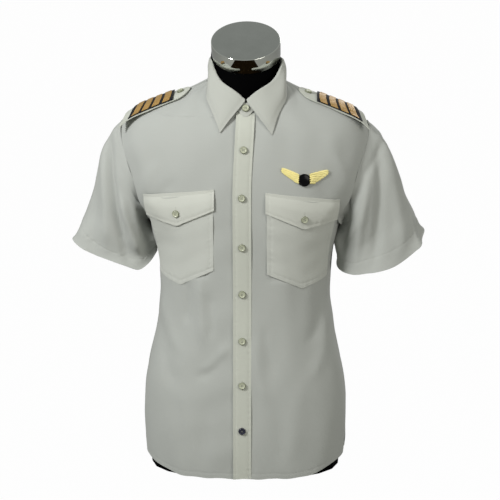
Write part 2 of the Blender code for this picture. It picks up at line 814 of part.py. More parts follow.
def add_front_buttons(group):
    for k in range(BUTTON_COUNT):
        look = "dark_button" if k == BUTTON_COUNT - 1 else "shirt_button"
        if k == 0:
            head, way = stand_ring(0.0)
            foot = on_body(0.0, neck_height(0.0))
            t = (BUTTON_TOP - foot.z) / (head.z - foot.z)
            slope = (head - foot).normalized()
            way = Vector((1.0, 0.0, 0.0)).cross(slope)
            spot = foot.lerp(head, t) + way * (STAND_CLOTH / 2 + STAND_LAP_LIFT + TOUCH_GAP)
        else:
            height = BUTTON_FIRST - BUTTON_STEP * (k - 1)
            spot = on_body(0.0, height, LAYER_GAP + CLOTH + BUTTON_GAP)
            way = outward(0.0, height)
        add_button(f"button_{k + 1}", spot, way, group, look)


def strap_half(reach):
    rows = tuple(reversed(STRAP_OUTLINE))
    return float(np.interp(reach, [row.reach for row in rows], [row.half for row in rows]))


def cross_points(reach, half, lift, count, side):
    """Points across the shoulder strap, from its front edge to its back edge."""
    slant = STRAP_SLANT * soft_step(reach, BOARD_INNER, STRAP_OUTLINE[0].reach)
    points = []
    for offset in np.linspace(-half, half, count):
        point = on_shoulder(reach - slant * (offset / STRAP_HALF + 1) / 2, STRAP_LINE + offset, lift)
        point.x *= side
        points.append(point)
    return points


def board_stations():
    return np.linspace(BOARD_OUTER, BOARD_INNER, BOARD_ROWS)


def strap_rows(side):
    reaches = [STRAP_OUTLINE[0].reach, *board_stations()] + [cut.reach for cut in STRAP_OUTLINE[1:]]
    rows = [cross_points(reach, strap_half(reach), STRAP_LIFT, STRAP_COLUMNS, side) for reach in reaches]
    return rows if side > 0 else [list(reversed(row)) for row in rows]


def board_rows(side):
    """The slide's board: a stiff flat plate that lies on the strap."""
    rows = [cross_points(reach, BOARD_HALF, BOARD_LIFT, STRAP_COLUMNS, side) for reach in board_stations()]
    return rows if side > 0 else [list(reversed(row)) for row in rows]


def bar_rows(side, number):
    """One braid bar, laid across the board."""
    outer = BAR_FIRST - number * BAR_STEP
    rows = []
    for reach in np.linspace(outer, outer - BAR_LENGTH, 3):
        rows.append(cross_points(reach, BAR_HALF, BAR_LIFT, STRAP_COLUMNS, side))
    return rows if side > 0 else [list(reversed(row)) for row in rows]


def add_shoulder(name, side, group):
    cloth_object("epaulette_" + name, strap_rows(side), group, STRAP_WALL)
    cloth_object("board_" + name, board_rows(side), group, BOARD_WALL, look="board_cloth")
    for number in range(BAR_COUNT):
        bar = f"board_{name}_bar_{number + 1}"
        cloth_object(bar, bar_rows(side, number), group, BAR_WALL, look="gold_braid")
    foot = on_shoulder(STRAP_BUTTON_REACH, STRAP_LINE, 0.0)
    spot = on_shoulder(STRAP_BUTTON_REACH, STRAP_LINE, STRAP_LIFT + TOUCH_GAP)
    foot.x *= side
    spot.x *= side
    add_button("epaulette_button_" + name, spot, (spot - foot).normalized(), group)


def badge_point(across, up, lift):
    """A point of the pin, laid out flat on the chest from the disc's middle."""
    height = BADGE_Z + up
    return on_body(angle_at(BADGE_X + across, height), height, lift)


def add_badge(group):
    """A plain pair of wings about a plain dark disc."""
    lift = TOUCH_GAP + WING_WALL
    for name, side in (("right", -1), ("left", 1)):
        rows = []
        for v in WING_SHARES:
            ridge = lift + WING_RIDGE * (v > 0.5)
            row = [badge_point(side * f.reach, blend(f.bottom, f.top, v), ridge) for f in WING]
            rows.append(row if side > 0 else list(reversed(row)))
        cloth_object("badge_wing_" + name, rows, group, WING_WALL, look="gold_metal")
    way = outward(angle_at(BADGE_X, BADGE_Z), BADGE_Z)
    bpy.ops.mesh.primitive_cylinder_add(
        vertices=24,
        radius=DISC_RADIUS,
        depth=DISC_THICK,
        location=badge_point(0.0, 0.0, TOUCH_GAP + DISC_THICK / 2),
    )
    disc = bpy.context.object
    disc.name = "badge_disc"
    disc.data.name = "badge_disc"
    disc.rotation_mode = "QUATERNION"
    disc.rotation_quaternion = way.to_track_quat("Z", "Y")
    disc.data.materials.append(finish("dark_enamel"))
    edge = disc.modifiers.new("edge", "BEVEL")
    edge.width = DISC_EDGE
    edge.segments = 1
    edge.limit_method = "ANGLE"
    move_to(disc, group)


def move_to(piece, group):
    for owner in list(piece.users_collection):
        owner.objects.unlink(piece)
    group.objects.link(piece)


def form_ring(height):
    """One level ring of the form: the shirt's section moved in, and ended at the shoulder."""
    clear = blend(FORM_CLEAR_LOW, FORM_CLEAR_TOP, soft_step(height, 0.48, 0.655))
    ends = STUMPS[0].height < height <= STUMPS[-1].height
    stump = smooth(STUMPS, "half_width", height) if ends else 1.0
    ring = []
    for k in range(FORM_POINTS):
        angle = 2 * math.pi * k / FORM_POINTS
        point = place(angle, height) - outward(angle, height) * clear
        if height == 0:
            point.z = 0
        ring.append(point)
    reach = max(p.x for p in ring)
    if reach > stump:
        for point in ring:
            point.x *= stump / reach
    return ring


def capped(name, rings):
    """A closed mesh from rings, with its two ends filled."""
    mesh = rows_mesh(name, rings, closed=True)
    shape = bmesh.new()
    shape.from_mesh(mesh)
    edges = [edge for edge in shape.edges if edge.is_boundary]
    bmesh.ops.holes_fill(shape, edges=edges)
    bmesh.ops.recalc_face_normals(shape, faces=shape.faces)
    shape.to_mesh(mesh)
    shape.free()
    return mesh


def neck_blank():
    """The form's neck: a column that leans and narrows from the shoulders to the cap."""
    low = Vector(NECK_LOW_CENTRE)
    axis = Matrix.Rotation(math.radians(CAP_TILT), 3, "X") @ Vector((0.0, 0.0, 1.0))
    high = Vector(CAP_CENTRE) - axis * (CAP_HEIGHT + TOUCH_GAP)
    deep = Matrix.Rotation(math.radians(CAP_TILT), 3, "X") @ Vector((0.0, 1.0, 0.0))
    rings = []
    for t in (-NECK_SUNK, 0.0, 0.35, 0.7, 1.0):
        centre = low.lerp(high, t)
        half_depth = blend(NECK_LOW_HALF_DEPTH, NECK_HIGH_HALF_DEPTH, max(t, 0.0))
        ring = []
        for k in range(FORM_POINTS):
            angle = 2 * math.pi * k / FORM_POINTS
            across = math.sin(angle) * NECK_HALF_WIDTH
            ring.append(centre + Vector((across, 0.0, 0.0)) - deep * math.cos(angle) * half_depth)
        rings.append(ring)
    return capped("form_neck_blank", rings)


def add_form(group, cutters):
    torso_mesh = capped("form_torso", [form_ring(height) for height in FORM_LEVELS])
    torso = add_object("form_torso", torso_mesh, "form_black", group)
    neck = add_object("form_neck_blank", neck_blank(), "form_black", cutters)
    neck.hide_render = True
    neck.display_type = "WIRE"
    joined = torso.modifiers.new("neck", "BOOLEAN")
    joined.operation = "UNION"
    joined.object = neck
    bpy.ops.mesh.primitive_cylinder_add(vertices=36, radius=1.0, depth=1.0)
    cap = bpy.context.object
    cap.name = "form_neck_cap"
    cap.data.name = "form_neck_cap"
    cap.data.transform(Matrix.Diagonal((CAP_HALF_WIDTH, CAP_HALF_DEPTH, CAP_HEIGHT, 1.0)))
    cap.data.transform(Matrix.Translation((0.0, 0.0, -CAP_HEIGHT / 2)))
    cap.location = CAP_CENTRE
    cap.rotation_euler = (math.radians(CAP_TILT), 0.0, 0.0)
    cap.data.materials.append(finish("cap_chrome"))
    cap.data.shade_smooth()
    cap.data.set_sharp_from_angle(angle=math.radians(30))
    edge = cap.modifiers.new("edge", "BEVEL")
    edge.width = CAP_EDGE
    edge.segments = 2
    edge.limit_method = "ANGLE"
    move_to(cap, group)


def main():
    clear_scene()
    group = new_collection("pilot_shirt_on_form")
    cutters = new_collection("cutters")
    add_form(group, cutters)
    cloth_object("front_left", front_panel(1), group)
    cloth_object("front_right", front_panel(-1), group)
    cloth_object("back", back_panel(), group)
    cloth_object("yoke", yoke_panel(), group)
    cloth_object("placket", placket(), group)
    for cut in SLEEVES:
        cloth_object("sleeve_" + cut.name, sleeve_rows(cut), group, closed=True)
    cloth_object("collar_stand", collar_stand(), group, STAND_CLOTH)
    cloth_object("collar", collar_leaf(), group, COLLAR_CLOTH)
    for cut in POCKETS:
        add_pocket(cut, group)
    for name, side in (("left", 1), ("right", -1)):
        add_shoulder(name, side, group)
    add_front_buttons(group)
    add_badge(group)


main()
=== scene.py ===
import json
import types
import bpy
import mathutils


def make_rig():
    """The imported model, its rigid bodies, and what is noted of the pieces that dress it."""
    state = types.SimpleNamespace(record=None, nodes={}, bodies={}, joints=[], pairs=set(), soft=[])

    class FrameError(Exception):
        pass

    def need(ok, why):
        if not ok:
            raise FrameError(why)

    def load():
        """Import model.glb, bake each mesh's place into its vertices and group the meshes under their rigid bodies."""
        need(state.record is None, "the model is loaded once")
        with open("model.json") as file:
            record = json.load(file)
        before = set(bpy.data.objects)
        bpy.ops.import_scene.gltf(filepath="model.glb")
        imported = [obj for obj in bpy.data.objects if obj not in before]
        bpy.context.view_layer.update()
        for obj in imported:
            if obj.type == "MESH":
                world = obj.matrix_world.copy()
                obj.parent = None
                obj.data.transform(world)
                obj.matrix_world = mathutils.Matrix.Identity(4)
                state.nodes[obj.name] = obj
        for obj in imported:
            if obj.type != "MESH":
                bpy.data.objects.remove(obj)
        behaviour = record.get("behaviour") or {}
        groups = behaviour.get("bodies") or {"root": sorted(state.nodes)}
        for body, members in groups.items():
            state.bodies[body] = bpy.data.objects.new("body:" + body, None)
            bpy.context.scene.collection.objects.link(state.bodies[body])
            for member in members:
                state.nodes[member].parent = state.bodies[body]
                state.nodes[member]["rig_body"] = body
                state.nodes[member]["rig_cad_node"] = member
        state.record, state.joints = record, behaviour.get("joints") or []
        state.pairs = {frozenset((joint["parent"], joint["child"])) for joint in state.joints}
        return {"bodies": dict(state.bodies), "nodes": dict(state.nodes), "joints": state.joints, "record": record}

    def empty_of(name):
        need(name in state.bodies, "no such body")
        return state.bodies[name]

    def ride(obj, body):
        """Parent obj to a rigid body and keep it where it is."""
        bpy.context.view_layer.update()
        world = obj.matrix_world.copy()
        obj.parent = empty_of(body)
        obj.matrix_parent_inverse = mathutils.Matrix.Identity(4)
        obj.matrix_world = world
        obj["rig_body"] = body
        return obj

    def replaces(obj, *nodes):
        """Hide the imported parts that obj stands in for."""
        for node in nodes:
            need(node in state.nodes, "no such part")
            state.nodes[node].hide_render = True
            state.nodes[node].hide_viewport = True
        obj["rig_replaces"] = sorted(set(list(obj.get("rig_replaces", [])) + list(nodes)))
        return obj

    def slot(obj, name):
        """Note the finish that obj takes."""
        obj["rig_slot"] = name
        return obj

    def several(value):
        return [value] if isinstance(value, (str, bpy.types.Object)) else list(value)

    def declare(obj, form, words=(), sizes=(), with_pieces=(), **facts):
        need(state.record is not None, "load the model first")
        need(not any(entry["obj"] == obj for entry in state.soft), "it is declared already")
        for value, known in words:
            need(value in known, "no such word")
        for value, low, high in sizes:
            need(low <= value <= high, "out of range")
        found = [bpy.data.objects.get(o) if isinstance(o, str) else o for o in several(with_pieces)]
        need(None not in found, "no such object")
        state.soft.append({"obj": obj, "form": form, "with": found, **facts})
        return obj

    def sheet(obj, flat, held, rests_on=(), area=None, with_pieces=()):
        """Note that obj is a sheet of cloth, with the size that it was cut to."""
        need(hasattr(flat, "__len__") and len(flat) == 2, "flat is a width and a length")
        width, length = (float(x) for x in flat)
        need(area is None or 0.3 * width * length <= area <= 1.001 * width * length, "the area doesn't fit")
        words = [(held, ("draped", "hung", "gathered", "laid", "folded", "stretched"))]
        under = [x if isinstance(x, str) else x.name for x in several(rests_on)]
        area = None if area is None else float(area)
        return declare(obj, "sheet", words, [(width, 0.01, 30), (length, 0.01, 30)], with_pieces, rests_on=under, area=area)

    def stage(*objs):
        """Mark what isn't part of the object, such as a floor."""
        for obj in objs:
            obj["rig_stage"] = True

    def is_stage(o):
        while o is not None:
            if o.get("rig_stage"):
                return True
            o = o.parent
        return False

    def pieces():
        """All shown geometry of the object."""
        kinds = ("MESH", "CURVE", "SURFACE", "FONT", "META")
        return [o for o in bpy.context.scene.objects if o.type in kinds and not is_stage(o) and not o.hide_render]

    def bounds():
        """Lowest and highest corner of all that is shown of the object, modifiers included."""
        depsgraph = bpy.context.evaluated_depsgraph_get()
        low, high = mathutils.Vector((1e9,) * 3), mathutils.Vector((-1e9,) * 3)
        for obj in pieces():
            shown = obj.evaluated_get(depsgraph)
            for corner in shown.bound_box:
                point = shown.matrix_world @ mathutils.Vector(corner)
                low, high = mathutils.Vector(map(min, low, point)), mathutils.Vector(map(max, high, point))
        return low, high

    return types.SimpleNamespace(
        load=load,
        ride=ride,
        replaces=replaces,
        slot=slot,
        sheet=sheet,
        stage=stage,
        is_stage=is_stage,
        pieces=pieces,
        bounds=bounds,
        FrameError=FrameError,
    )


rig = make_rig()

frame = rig.load()

import json
import math
from collections import namedtuple

import bmesh
import bpy
import numpy as np
from mathutils import Matrix, Vector

cad_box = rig.bounds()


# Fronts
# Two panels of one layer of light poplin, woven plain in pale grey-green. They run from the shoulder seam to
# the hem and are shaped in at the waist. The hem is turned up twice and stitched in the cloth's own colour.

THREAD_PITCH = 0.00042
ONE_LAYER = (0.428, 0.443, 0.415)
THREAD_COLOUR = (0.40, 0.41, 0.36)
SLUBS = (38.0, 900.0, 1.0)


def wire(material, source, output, target, socket):
    material.node_tree.links.new(source.outputs[output], target.inputs[socket])


def add_node(material, kind, values=None, **attributes):
    """A shader node with its attributes, and then its input values, set."""
    node = material.node_tree.nodes.new(kind)
    for name, value in attributes.items():
        setattr(node, name, value)
    for socket, value in (values or {}).items():
        node.inputs[socket].default_value = value
    return node


def new_material(name, values):
    """A material and its shader, with constant values on the shader's own sockets."""
    material = bpy.data.materials.new(name)
    material.use_nodes = True
    shader = material.node_tree.nodes["Principled BSDF"]
    for socket, value in values.items():
        shader.inputs[socket].default_value = value
    return material, shader


def tinted(material, shader, dark, light, pattern, output="Fac"):
    """The colour between dark and light that a pattern gives."""
    tint = add_node(material, "ShaderNodeMix", {6: (*dark, 1.0), 7: (*light, 1.0)}, data_type="RGBA")
    wire(material, pattern, output, tint, "Factor")
    wire(material, tint, 2, shader, "Base Color")


def embossed(material, shader, strength, height, pattern, output="Fac"):
    """Fine relief from a pattern."""
    relief = add_node(material, "ShaderNodeBump", {"Strength": strength, "Distance": height})
    wire(material, pattern, output, relief, "Height")
    wire(material, relief, "Normal", shader, "Normal")


def grained(name, values, dark, light, noise, rough=None, relief=None):
    """A material tinted by a grain on Object coordinates, which may also vary its roughness or relief."""
    material, shader = new_material(name, values)
    spot = add_node(material, "ShaderNodeTexCoord")
    grain = add_node(material, "ShaderNodeTexNoise", noise)
    wire(material, spot, "Object", grain, "Vector")
    tinted(material, shader, dark, light, grain)
    if rough:
        spread = add_node(material, "ShaderNodeMapRange", {"To Min": rough[0], "To Max": rough[1]})
        wire(material, grain, "Fac", spread, "Value")
        wire(material, spread, "Result", shader, "Roughness")
    if relief:
        embossed(material, shader, *relief, grain)
    return material


def poplin(name, colour):
    """Plain weave on the piece's own UV map, in metres: threads over and under, slubs, a soft sheen."""
    material, shader = new_material(name, {
        "Roughness": 0.86,
        "Specular IOR Level": 0.22,
        "Sheen Weight": 0.18,
        "Sheen Roughness": 0.55,
    })
    flat = add_node(material, "ShaderNodeUVMap", uv_map="cloth")
    wave = {"Scale": math.pi / (10 * THREAD_PITCH), "Distortion": 0.6, "Detail": 1.0, "Detail Scale": 0.4}
    weave = add_node(material, "ShaderNodeMath", operation="MULTIPLY")
    for socket, direction in enumerate("XY"):
        threads = add_node(material, "ShaderNodeTexWave", wave, wave_type="BANDS", bands_direction=direction)
        wire(material, flat, "UV", threads, "Vector")
        wire(material, threads, "Fac", weave, socket)
    slub_map = add_node(material, "ShaderNodeMapping", {"Scale": SLUBS})
    slub = add_node(material, "ShaderNodeTexNoise", {"Scale": 1.0, "Detail": 3.0})
    wire(material, flat, "UV", slub_map, "Vector")
    wire(material, slub_map, "Vector", slub, "Vector")
    cloud = add_node(material, "ShaderNodeTexNoise", {"Scale": 14.0, "Detail": 2.0})
    spot = add_node(material, "ShaderNodeTexCoord")
    wire(material, spot, "Object", cloud, "Vector")
    halved = add_node(material, "ShaderNodeMath", {1: 0.5}, operation="MULTIPLY")
    wire(material, cloud, "Fac", halved, 0)
    mixed = add_node(material, "ShaderNodeMath", {1: 0.5}, operation="MULTIPLY_ADD")
    wire(material, slub, "Fac", mixed, 0)
    wire(material, halved, "Value", mixed, 2)
    light = [min(1.0, c * 1.05) for c in colour]
    dark = [c * 0.94 for c in colour]
    tinted(material, shader, dark, light, mixed, "Value")
    embossed(material, shader, 0.35, 0.00010, weave, "Value")
    return material


single_cloth = poplin("poplin_one_layer", ONE_LAYER)
thread_shade = [c * 0.86 for c in THREAD_COLOUR]
thread = grained("sewing_thread", {"Roughness": 0.55}, thread_shade, THREAD_COLOUR, {"Scale": 900.0})

Panel = namedtuple("Panel", "points normals across up closed")
UP = (0.0, 0.0, 1.0)
WELD = 0.00002
SKIN_BEND = math.radians(50)


def outer_triangles(node, facing):
    """The triangles of a node's outer skin: the larger of its two sides, or the one that faces a way."""
    mesh = bmesh.new()
    mesh.from_mesh(frame["nodes"][node].data)
    bmesh.ops.remove_doubles(mesh, verts=mesh.verts, dist=WELD)
    points = np.array([vert.co for vert in mesh.verts])
    normals = np.array([vert.normal for vert in mesh.verts])
    way = points[None] - points[:, None]
    apart = np.linalg.norm(way, axis=2) + np.eye(len(points))
    through = np.abs(np.einsum("abk,ak->ab", way, normals)) / apart
    opposite = (apart / (through + 0.05)).argmin(axis=1)
    corners = [tuple(vert.index for vert in face.verts) for face in mesh.faces]
    flat = [face for face, spots in zip(mesh.faces, corners) if not {*opposite[list(spots)]} & {*spots}]
    left = set(flat)
    skins = []
    while left:
        group = [left.pop()]
        for face in group:
            for edge in face.edges:
                if len(edge.link_faces) == 2 and edge.calc_face_angle(0) < SKIN_BEND:
                    near = [other for other in edge.link_faces if other in left]
                    left.difference_update(near)
                    group.extend(near)
        skins.append(group)
    skins.sort(key=lambda group: -sum(face.calc_area() for face in group))
    outer, inner = skins[:2]
    if facing and sum(face.normal.dot(Vector(facing)) for face in outer) < 0:
        outer, inner = inner, outer
    outside = {vert.index for face in outer for vert in face.verts}
    inside = {vert.index for face in inner for vert in face.verts}
    inside, outside = inside - outside, outside - inside
    for near, far in ((outside, inside), (inside, outside)) * 4:
        for face in flat:
            spots = {vert.index for vert in face.verts}
            if len(spots & near) > 1 and not spots & far:
                near |= spots
    mesh.free()
    corners = [face for face in corners if not inside.intersection(face)]
    return points, [face for face in corners if len(outside.intersection(face)) > 1]


def border_loops(corners):
    """The skin's borders, as closed loops of point numbers."""
    following = {}
    sides = {(a, b) for face in corners for a, b in zip(face, face[1:] + face[:1])}
    for a, b in sides:
        if (b, a) not in sides:
            following[a] = b
    loops = []
    while following:
        loop = [next(iter(following))]
        while loop[-1] in following:
            loop.append(following.pop(loop[-1]))
        loops.append(loop[:-1])
    return loops


def next_row(beside, used, last, start):
    """The row of points beyond a row, found two triangles at a time, or None if they don't fit."""

    def beyond(a, b):
        for face in beside.get(frozenset((a, b)), ()):
            if face not in used:
                used.add(face)
                return (set(face) - {a, b}).pop()
        return None

    row = [start]
    for a, b in zip(last, last[1:]):
        tip = beyond(a, b)
        if tip is None:
            return None
        if tip == row[-1]:
            tip = beyond(b, row[-1])
        elif beyond(a, row[-1]) != tip:
            return None
        if tip is None:
            return None
        row.append(tip)
    return row


def open_rows(corners, beside, loop):
    """Rows of a skin with one border, tried from each point of the border until all triangles are used."""
    half, cells = len(loop) // 2, len(corners) // 2
    root = math.isqrt(half * half - 4 * cells)
    for wide in ((half + root) // 2, (half - root) // 2):
        for turn in range(len(loop)):
            around = loop[turn:] + loop[:turn]
            rows = [around[: wide + 1]]
            used = set()
            for start in around[: -(half - wide) - 1 : -1]:
                rows.append(next_row(beside, used, rows[-1], start))
                if rows[-1] is None:
                    break
            if rows[-1] and len(used) == len(corners):
                return rows
    return None


def ring_rows(corners, beside, first):
    """Rows of a ring, one after the other from its first border."""
    rows = [first + first[:1]]
    used = set()
    while len(used) < len(corners):
        last = rows[-1]
        near = {point for face in set(corners) - used if last[0] in face for point in face} - set(last)
        for start in sorted(near):
            trial = set(used)
            row = next_row(beside, trial, last, start)
            if row and row[-1] == start and len(set(row)) == len(row) - 1:
                rows.append(row)
                used = trial
                break
    return [row[:-1] for row in rows]


def cloth_rows(node, rise, facing):
    """Rows and columns of points of a node's outer face, along rise, and whether the rows close."""
    points, corners = outer_triangles(node, facing)
    beside = {}
    for face in corners:
        for a, b in zip(face, face[1:] + face[:1]):
            beside.setdefault(frozenset((a, b)), []).append(face)
    loops = border_loops(corners)
    closed = len(loops) == 2
    rows = (ring_rows if closed else open_rows)(corners, beside, loops[0])
    grid = points[np.array(rows)]
    rise = np.array(rise)
    by_rows = (grid[-1].mean(axis=0) - grid[0].mean(axis=0)) @ rise
    by_columns = (grid[:, -1].mean(axis=0) - grid[:, 0].mean(axis=0)) @ rise
    if not closed and abs(by_columns) > abs(by_rows):
        grid = grid.swapaxes(0, 1)
    if (grid[-1].mean(axis=0) - grid[0].mean(axis=0)) @ rise < 0:
        grid = grid[::-1]
    normal = np.cross(grid[1:, 1:] - grid[1:, :-1], grid[1:, 1:] - grid[:-1, 1:])
    if closed:
        facing = (normal * (grid[1:, 1:] - grid.mean(axis=(0, 1)))).sum()
    else:
        a, b, c = (points[[face[k] for face in corners]] for k in range(3))
        nearest = np.argmin((((a + b + c) / 3 - grid[1, 1]) ** 2).sum(axis=1))
        facing = normal[0, 0] @ np.cross(b - a, c - a)[nearest]
    return (grid if facing > 0 else grid[:, ::-1]), closed


def reading(keys, spots):
    """Weights that read a smooth curve through values at keys, at other spots."""
    count = len(keys)
    slope = np.gradient(np.eye(count), keys, axis=0)
    k = np.clip(np.searchsorted(keys, spots, side="right"), 1, count - 1)
    span = keys[k] - keys[k - 1]
    t = ((spots - keys[k - 1]) / span)[:, None]
    span = span[:, None]
    low, high = np.eye(count)[k - 1], np.eye(count)[k]
    ease = t * t * (3 - 2 * t)
    bend = t * (1 - t) ** 2 * span * slope[k - 1] - t * t * (1 - t) * span * slope[k]
    return low + (high - low) * ease + bend


def places(length, step, extra, reach):
    """Distances from 0 to length about a step apart, with the extra ones, and reach past both ends."""
    count = max(2, round(length / step))
    found = list(np.linspace(0.0, length, count + 1)) + [x if x >= 0 else length + x for x in extra]
    found[0], found[count] = -reach, length + reach
    found = sorted(found)
    return np.array([x for k, x in enumerate(found) if k == 0 or x - found[k - 1] > 0.0003])


def normals_of(points, closed=False):
    across = np.gradient(points, axis=1)
    if closed:
        wrapped = np.concatenate((points[:, -2:-1], points, points[:, 1:2]), axis=1)
        across = wrapped[:, 2:] - wrapped[:, :-2]
    normal = np.cross(across, np.gradient(points, axis=0))
    return normal / np.linalg.norm(normal, axis=2, keepdims=True)


def calmed(grid):
    """A ring of cloth without its coarse folds: each column becomes one smooth curve from seam to hem."""
    fit = np.polynomial.legendre.legvander(np.linspace(-1.0, 1.0, len(grid)), 4)
    hold = np.ones(len(grid))
    hold[[0, -1]] = 12.0
    grid = np.einsum("ab,bck->ack", fit @ (np.linalg.pinv(fit * hold[:, None]) * hold), grid)
    middle = grid[1:-1]
    grid[1:-1] = middle * 0.5 + (np.roll(middle, 1, axis=1) + np.roll(middle, -1, axis=1)) * 0.25
    return grid


def cut(node, step, reach=0.0, across=(), up=(), rise=UP, facing=None):
    """A panel of finer cloth on a node's outer face, with distances in metres along its rows and columns."""
    grid, closed = cloth_rows(node, rise, facing)
    if closed:
        grid = calmed(grid)
        grid = np.roll(grid, -int(np.argmin(grid[-1][:, 2])), axis=1)
        grid = np.concatenate((grid, grid[:, :1]), axis=1)
    row_steps = np.linalg.norm(np.diff(grid, axis=1), axis=2).mean(axis=0)
    column_steps = np.linalg.norm(np.diff(grid, axis=0), axis=2).mean(axis=1)
    across_keys = np.concatenate(([0.0], np.cumsum(row_steps)))
    up_keys = np.concatenate(([0.0], np.cumsum(column_steps)))
    across_at = places(across_keys[-1], step, across, 0.0 if closed else reach)
    up_at = places(up_keys[-1], step, up, reach)
    if closed:
        turn = across_keys[-1]
        across_keys = np.concatenate((across_keys[-4:-1] - turn, across_keys, across_keys[1:4] + turn))
        grid = np.concatenate((grid[:, -4:-1], grid, grid[:, 1:4]), axis=1)
    points = np.einsum("ar,rcx,bc->abx", reading(up_keys, up_at), grid, reading(across_keys, across_at))
    return Panel(points, normals_of(points, closed), across_at, up_at, closed)


def reshaped(panel, points):
    return panel._replace(points=points, normals=normals_of(points, panel.closed))


def lifted(panel, lift):
    """A panel moved along its normals, by a height for each point."""
    return reshaped(panel, panel.points + panel.normals * lift[:, :, None])


Crease = namedtuple("Crease", "x0 z0 x1 z1 width depth bow")


def creased(panel, creases):
    """A panel with listed soft troughs and ridges, from point to point as seen from the front."""
    flat = panel.points[:, :, [0, 2]]
    lift = np.zeros(flat.shape[:2])
    for crease in creases:
        start, end = np.array((crease.x0, crease.z0)), np.array((crease.x1, crease.z1))
        length = np.linalg.norm(end - start)
        way = (end - start) / length
        along = (flat - start) @ way / length
        off = (flat - start) @ np.array((-way[1], way[0]))
        off = off - crease.bow * 4 * along * (1 - along)
        fade = np.clip((along + 0.12) / 0.34, 0, 1) * np.clip((1.12 - along) / 0.34, 0, 1)
        fade = fade * fade * (3 - 2 * fade)
        lift += crease.depth * fade * np.exp(-((off / crease.width) ** 2))
    return lifted(panel, lift)


def eased(values):
    values = np.clip(values, 0.0, 1.0)
    return values * values * (3 - 2 * values)


def relaxed(panel, passes=40):
    """A panel without the slight breaks between the rows it was read from."""
    points = panel.points.copy()
    normals = panel.normals[1:-1]
    for _ in range(passes):
        off = (points[:-2] + points[2:]) / 2 - points[1:-1]
        points[1:-1] += normals * 0.5 * (off * normals).sum(axis=2, keepdims=True)
    return reshaped(panel, points)


def evened(panel, first=9):
    """A panel whose rows above the hem's are set evenly along each of its columns."""
    points = panel.points.copy()
    share = (panel.up[first:] - panel.up[first]) / (panel.up[-1] - panel.up[first])
    for column in range(points.shape[1]):
        line = points[first:, column].copy()
        reach = np.concatenate(([0.0], np.cumsum(np.linalg.norm(np.diff(line, axis=0), axis=1))))
        for axis in range(3):
            points[first:, column, axis] = np.interp(share * reach[-1], reach, line[:, axis])
    return reshaped(panel, points)


SETTLE = 0.0056
LET_DOWN = 0.0085
HEM_WAVE = 0.0008


def settled(points):
    """Points moved with the collar and the top of the placket, which sit a little to the wearer's left."""
    high = eased((points[..., 2] - 0.530) / 0.160)
    before = eased((0.020 - points[..., 1]) / 0.060)
    near = eased((0.130 - np.abs(points[..., 0])) / 0.060)
    moved = points.copy()
    moved[..., 0] += SETTLE * high * before * near
    return moved


def let_down(points):
    """The front hem hangs lower beside the middle than the solid's, and waves a little."""
    moved = points.copy()
    low = eased((0.090 - points[..., 2]) / 0.080)
    edge = eased((0.030 - points[..., 2]) / 0.025)
    beside = 0.10 + 0.90 * np.exp(-(((np.abs(points[..., 0]) - 0.125) / 0.050) ** 2))
    ahead = eased((0.020 - points[..., 1]) / 0.060)
    moved[..., 2] -= LET_DOWN * low * beside * ahead
    moved[..., 2] += HEM_WAVE * edge * (1.0 + np.sin(points[..., 0] * 128.0 + 0.6))
    return moved


Place = namedtuple("Place", "left right low high slope")


def tucked(panel, place, depth, border=0.007):
    """A panel pressed down where a pocket lies on it; the pocket's upper edge may slope."""
    x, z = panel.points[:, :, 0], panel.points[:, :, 2]
    inside = eased((x - place.left) / border) * eased((place.right - x) / border)
    inside *= eased((z - place.low) / border) * eased((place.high + place.slope * x - z) / border)
    return lifted(panel, -inside * depth)


ripple = np.random.default_rng(11)


def uneven(panel, height, wave):
    """Cloth is never quite smooth: a few faint waves in all directions, over the panel's own measure."""
    lift = np.zeros(panel.points.shape[:2])
    turn = panel.across[-1]
    for _ in range(7):
        way = ripple.uniform(0, math.pi)
        pitch = wave * ripple.uniform(0.7, 1.6)
        phase = ripple.uniform(0, 2 * math.pi)
        across = math.cos(way) / pitch
        if panel.closed:
            across = round(across * turn) / turn
        grid = across * panel.across[None, :] + math.sin(way) / pitch * panel.up[:, None]
        lift += np.sin(2 * math.pi * grid + phase)
    return lifted(panel, lift * height / 2.6)


def puckered(panel, up=(), across=(), height=0.00035, pitch=0.0085):
    """Small uneven puckers along lines of stitches."""
    lift = np.zeros(panel.points.shape[:2])
    along_rows = (up, panel.across[None, :], panel.up[:, None])
    along_columns = (across, panel.up[:, None], panel.across[None, :])
    for lines, along, off in (along_rows, along_columns):
        for line in lines:
            line = line if line >= 0 else off.max() + line
            wave = np.zeros_like(along)
            for _ in range(4):
                count = max(1, round(along.max() / (pitch * ripple.uniform(0.7, 1.7))))
                phase = ripple.uniform(0, 2 * math.pi)
                wave = wave + np.sin(2 * math.pi * count * along / along.max() + phase)
            lift += wave * np.exp(-(((off - line) / 0.0055) ** 2))
    return lifted(panel, lift * height / 2)


def grooved(panel, across=(), up=(), depth=0.00055, width=0.0012):
    """A panel pressed in a little along its lines of stitches."""
    press = np.zeros(panel.points.shape[:2])
    for lines, off in ((across, panel.across[None, :]), (up, panel.up[:, None])):
        for line in lines:
            line = line if line >= 0 else off.max() + line
            press += np.exp(-(((off - line) / width) ** 2))
    return lifted(panel, -press * depth)


def in_scene(name, mesh):
    """A new object of a mesh, selected and active."""
    piece = bpy.data.objects.new(name, mesh)
    bpy.context.scene.collection.objects.link(piece)
    bpy.ops.object.select_all(action="DESELECT")
    bpy.context.view_layer.objects.active = piece
    piece.select_set(True)
    return piece


def fixed(piece, slot, node=None):
    """The piece rides the part's one body, in a slot of the record and in place of its CAD node."""
    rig.ride(piece, "root")
    if node:
        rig.replaces(piece, node)
    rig.slot(piece, slot)
    return piece


